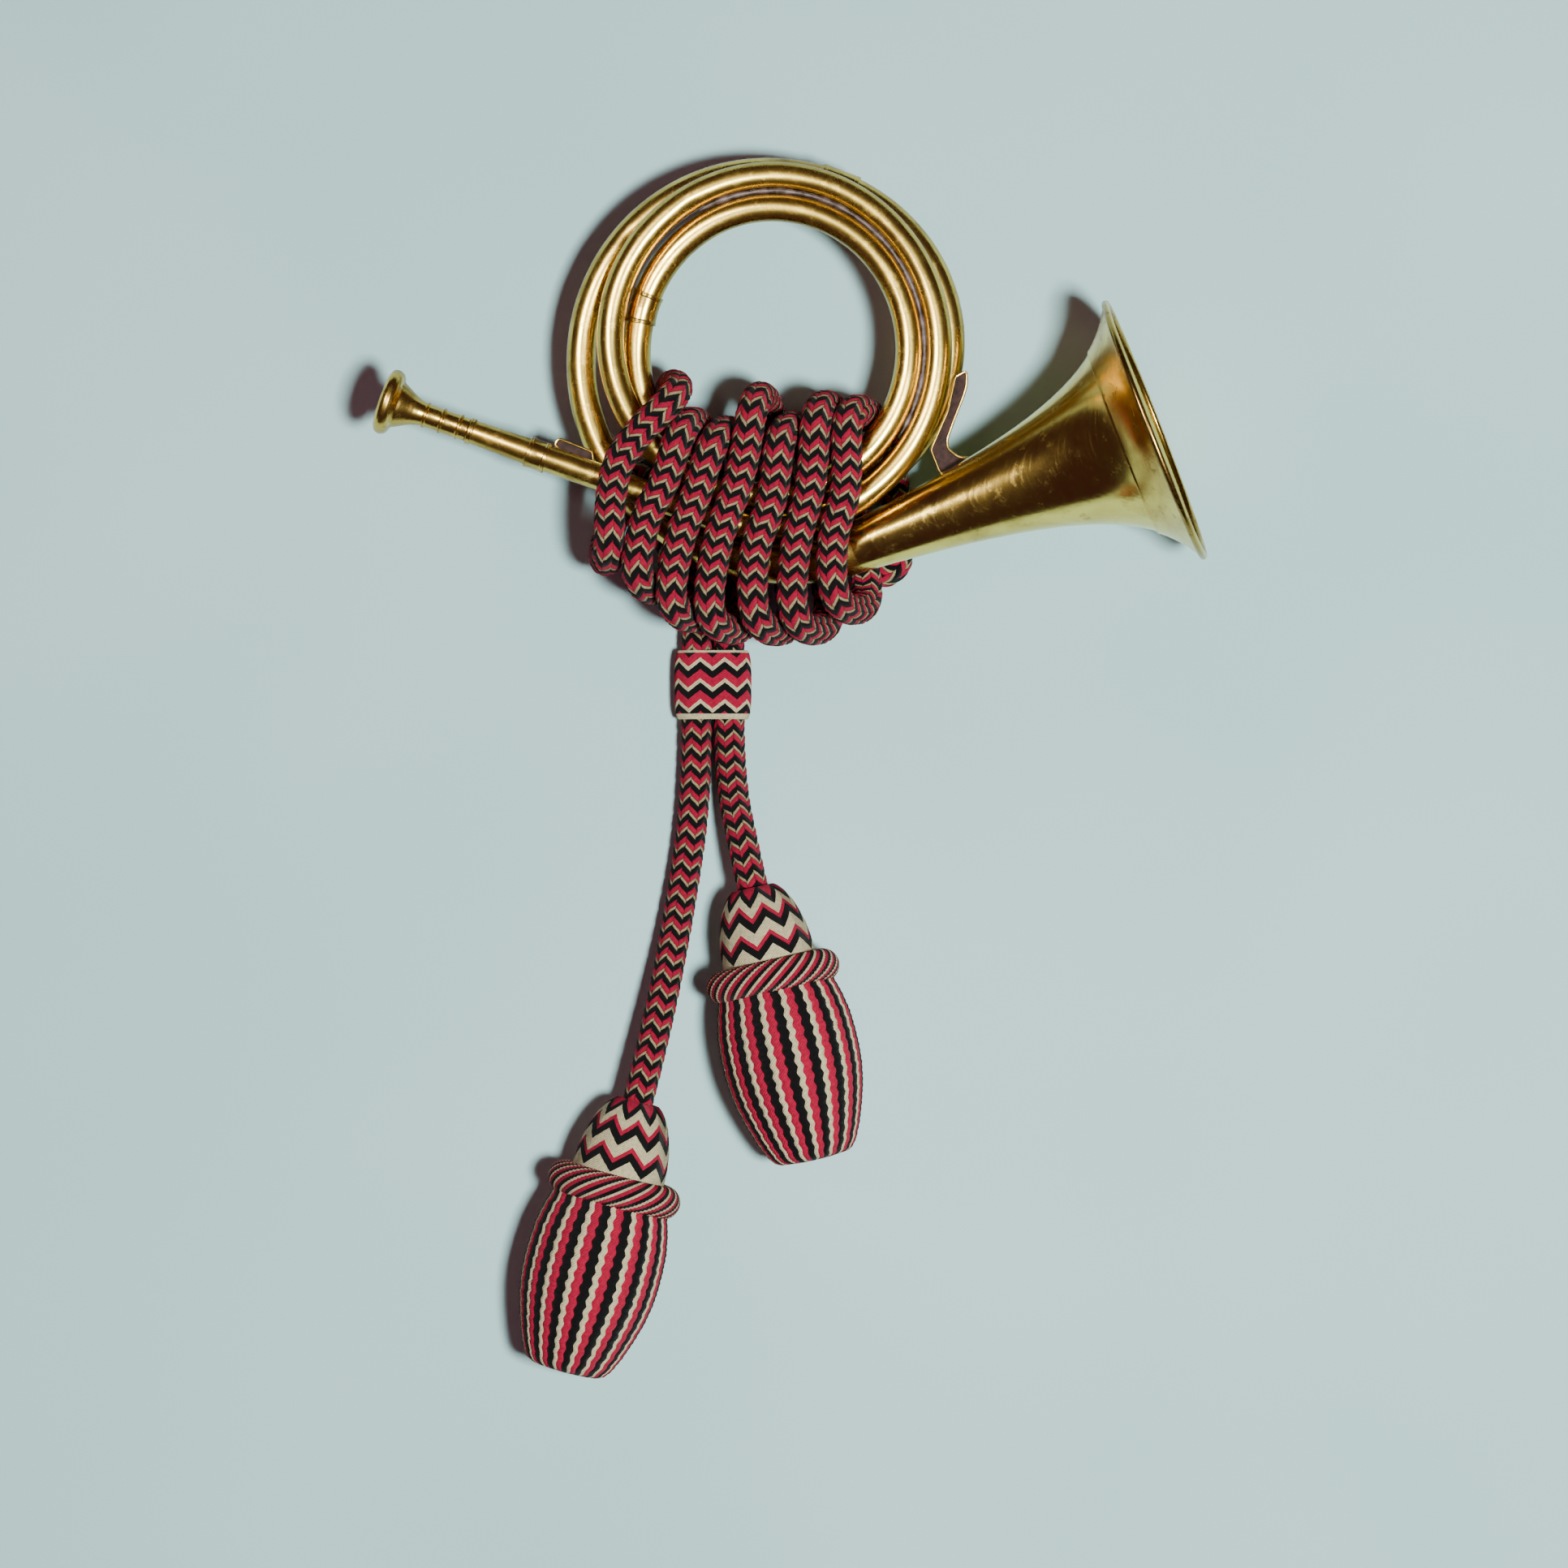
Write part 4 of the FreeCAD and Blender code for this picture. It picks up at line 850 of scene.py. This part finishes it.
def striped_fabric(name, stripes, count, turns, sway=0.0, pitch=1.0):
    """Colours for stripes or strands, counted by the map's share round and way along."""
    n = Nodes(name)
    u, v = n.map()
    phase = n.math("ADD", n.math("MULTIPLY", u, count), n.math("MULTIPLY", v, turns))
    if sway:
        wave = n.math("SINE", n.math("MULTIPLY", v, 2 * math.pi / pitch))
        phase = n.math("ADD", phase, n.math("MULTIPLY", wave, sway))
    share = n.math("FRACT", n.math("DIVIDE", phase, 3.0))
    colour = n.ramp(share, stripes, True)
    threads_along = 2 * math.pi / 1.2 if sway else 600.0
    fibre = n.math("ADD", n.math("MULTIPLY", v, threads_along), n.math("MULTIPLY", u, 900.0))
    fibre = n.math("SINE", fibre)
    return fabric_finish(n, colour, fibre, 0.0003)


def top_rim(plate):
    """The points round a plate's top face, in order, in millimetres."""
    spots = [np.array(plate.matrix_world @ v.co) for v in plate.data.vertices]
    top = max(spot[2] for spot in spots)
    uses = {}
    for face in plate.data.polygons:
        level = all(spots[k][2] > top - 0.0003 for k in face.vertices)
        for key in face.edge_keys if level else ():
            uses[key] = uses.get(key, 0) + 1
    ahead = {}
    for one, two in (key for key, count in uses.items() if count == 1):
        ahead.setdefault(one, []).append(two)
        ahead.setdefault(two, []).append(one)
    walk = [min(ahead)]
    while len(walk) < len(ahead):
        fresh = [k for k in ahead[walk[-1]] if k not in walk]
        if not fresh:
            break
        walk.append(fresh[0])
    return np.array([spots[k] for k in walk + walk[:1]]) / MM + ORIGIN


def rolled_edge(name, rim, radius=0.55, step=0.7, sides=12):
    """A thin bead round a plate, its corners eased a little."""
    line = even(rim, step)[0][:-1]
    for _ in range(3):
        line = (np.roll(line, 1, 0) + line * 2 + np.roll(line, -1, 0)) / 4
    way = np.roll(line, -1, 0) - np.roll(line, 1, 0)
    way /= np.linalg.norm(way, axis=1)[:, None]
    turn = np.linspace(0, 2 * np.pi, sides, endpoint=False)
    up = np.array([0, 0, 1.0])
    out = np.cross(way, up)
    rows = (line[:, None] + out[:, None] * np.cos(turn)[None, :, None] * radius
            + up * np.sin(turn)[None, :, None] * radius)
    return grid(name, rows, np.arange(len(line)) * step, close=True)


def stays(materials):
    """The two plates, coloured a dull dark brown, and the thin bright rolled edge of each."""
    for node in ("bell_stay", "mouthpipe_stay"):
        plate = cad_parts[node]
        plate.data.materials.clear()
        plate.data.materials.append(materials["plate"])
        edge = plate.modifiers.new("edge", "BEVEL")
        edge.width = 0.0003
        edge.segments = 2
        edge.limit_method = "ANGLE"
        bead = rolled_edge(node + "_edge", top_rim(plate))
        dress(bead, materials["fitting"], "horn", "fitting_brass")


def cores(materials):
    """The turned wood inside the tassels."""
    for side in ("left", "right"):
        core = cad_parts["tassel_%s_core" % side]
        core.data.materials.clear()
        core.data.materials.append(materials["wood"])


def wood():
    n = Nodes("turned_wood")
    colour = n.mix(n.span(n.noise(60, 6), 0.3, 0.7), (0.42, 0.27, 0.13), (0.25, 0.15, 0.07))
    n.link(colour, n.shader.inputs["Base Color"])
    n.shader.inputs["Roughness"].default_value = 0.6
    return n.material


def matt_metal(name, light, dark, metallic, rough):
    """Dull metal: the solder, which was never polished, and the plates, coloured a dark brown."""
    n = Nodes(name)
    colour = n.mix(n.span(n.noise(300, 4), 0.4, 0.65), light, dark)
    n.link(colour, n.shader.inputs["Base Color"])
    n.shader.inputs["Metallic"].default_value = metallic
    n.shader.inputs["Roughness"].default_value = rough
    n.link(n.bump(n.noise(500, 4), 0.4, 0.0004), n.shader.inputs["Normal"])
    return n.material


def all_materials():
    strands = tuple(zip(STRAND_EDGES, (BLACK, CREAM, CRIMSON)))
    plait = tuple(zip(PLAIT_EDGES, (BLACK, CREAM, CRIMSON)))
    head_stops = ((0.0, CRIMSON), (0.13, BLACK), (0.22, CREAM), (0.33, CRIMSON), (0.39, BLACK),
                  (0.50, CREAM), (0.635, CRIMSON), (0.69, BLACK), (0.79, CREAM), (0.96, CRIMSON))
    bands = ((0.0, BLACK), (BRAID_BANDS[0][1], CRIMSON), (BRAID_BANDS[1][1], DULL_CREAM))
    return {
        # The last number for tube and fitting brass is how strongly painted shade darkens the sides of
        # their tubes.
        "tube": brass("tube_brass", (0.86, 0.58, 0.13), (0.62, 0.38, 0.075), (0.20, 0.085, 0.02), 0.5,
                      0.21, 0.33, 0.8),
        "bell": brass("bell_brass", (0.84, 0.58, 0.14), (0.56, 0.35, 0.075), (0.16, 0.07, 0.02), 0.5,
                      0.13, 0.26),
        "garland": brass("garland_brass", (0.80, 0.53, 0.13), (0.50, 0.28, 0.06), (0.12, 0.05, 0.015),
                         0.8, 0.15, 0.3),
        "fitting": brass("fitting_brass", (0.80, 0.52, 0.12), (0.48, 0.27, 0.06), (0.10, 0.04, 0.012),
                         0.8, 0.18, 0.32, 0.6),
        "plate": matt_metal("plate_brass", (0.060, 0.024, 0.018), (0.022, 0.009, 0.008), 0.45, 0.8),
        "solder": matt_metal("old_solder", (0.13, 0.095, 0.10), (0.04, 0.025, 0.022), 0.6, 0.5),
        # The 0.8 here is the painted shade in the crevices between the cord's stitches.
        "cord": zigzag_fabric("cord_braid", BRAID_WAVES, BRAID_RISE, BRAID_REPEAT, bands, 12, 0.8,
                              BRAID_STEP),
        "slider": zigzag_fabric("slider_weave", SLIDER_WAVES, SLIDER_RISE, SLIDER_REPEAT,
                                ((0.0, BLACK), (0.36, CRIMSON), (0.80, CREAM)), SLIDER_THREADS,
                                edges_at=(1.0, 26.4)),
        "head": zigzag_fabric("head_weave", HEAD_WAVES, HEAD_RISE, 38.0, head_stops, 36),
        "ring": striped_fabric("ring_rope", strands, RING_TWISTS, RING_STRANDS),
        "body": striped_fabric("body_plait", plait, PLAIT_STRIPES, 0, PLAIT_SWAY, PLAIT_PITCH),
        "wood": wood(),
    }


def floor():
    n = Nodes("pale_floor")
    colour = n.mix(n.span(n.noise(3.0, 2), 0.3, 0.7), (0.41, 0.64, 0.655), (0.50, 0.73, 0.74))
    n.link(colour, n.shader.inputs["Base Color"])
    n.shader.inputs["Roughness"].default_value = 0.9
    bpy.ops.mesh.primitive_plane_add(size=6.0, location=(0, -0.17, 0))
    plane = bpy.context.object
    plane.name = "floor"
    plane.data.materials.append(n.material)


def area_light(name, position, target, size, watts, colour, mirrored=True):
    data = bpy.data.lights.new(name, "AREA")
    data.energy = watts
    data.color = colour
    data.shape = "RECTANGLE"
    data.size, data.size_y = size
    lamp = bpy.data.objects.new(name, data)
    lamp.location = position
    lamp.visible_glossy = mirrored
    lamp.rotation_euler = (Vector(target) - Vector(position)).to_track_quat("-Z", "Y").to_euler()
    bpy.context.scene.collection.objects.link(lamp)
    return lamp


def lights():
    middle = (0, -0.17, 0.03)
    area_light("key", (0.44, -0.33, 1.9), middle, (0.24, 0.24), 68, (0.90, 1.0, 0.97))
    area_light("left_fill", (-1.5, 0.3, 1.1), middle, (0.5, 1.4), 3.6, (1.0, 0.20, 0.26), False)
    area_light("right_fill", (1.5, 0.4, 0.9), middle, (0.4, 1.2), 2.3, (1.0, 0.24, 0.30), False)
    streak = area_light("streak", (-0.59, 0.25, 1.6), middle, (0.14, 0.50), 26, (1.0, 0.98, 0.9))
    streak.visible_diffuse = False
    world = bpy.data.worlds.new("studio")
    world.use_nodes = True
    background = world.node_tree.nodes["Background"]
    background.inputs["Color"].default_value = (0.52, 0.21, 0.36, 1)
    background.inputs["Strength"].default_value = 0.08
    bpy.context.scene.world = world


PHOTO_MIDDLE, PHOTO_CENTRE, PIXELS_PER_MM = (966, 966), (949, 428), 3


def camera():
    """Straight above, so that a third of a millimetre just over the floor is one pixel of the
    photograph, whose middle is at PHOTO_MIDDLE and the coil's centre at PHOTO_CENTRE."""
    frame_width, height = 0.644, 1.94
    data = bpy.data.cameras.new("camera")
    data.sensor_width = 36
    data.lens = 36 * (height - 0.04) / frame_width
    data.clip_end = 20
    eye = bpy.data.objects.new("camera", data)
    across = (PHOTO_MIDDLE[0] - PHOTO_CENTRE[0]) / PIXELS_PER_MM
    up = (PHOTO_CENTRE[1] - PHOTO_MIDDLE[1]) / PIXELS_PER_MM
    middle = to_row(point(across, up, 0))
    eye.location = (middle[0], middle[1], height)
    bpy.context.scene.collection.objects.link(eye)
    bpy.context.scene.camera = eye


materials = all_materials()
camera()
floor()
lights()
braided_cord(materials)
slider(materials)
brass_tubes(materials)
mouthpiece_pieces(materials)
ferrules(materials)
bell_pieces(materials)
solder_line(materials)
stays(materials)
tassel("left", materials)
tassel("right", materials)
cores(materials)
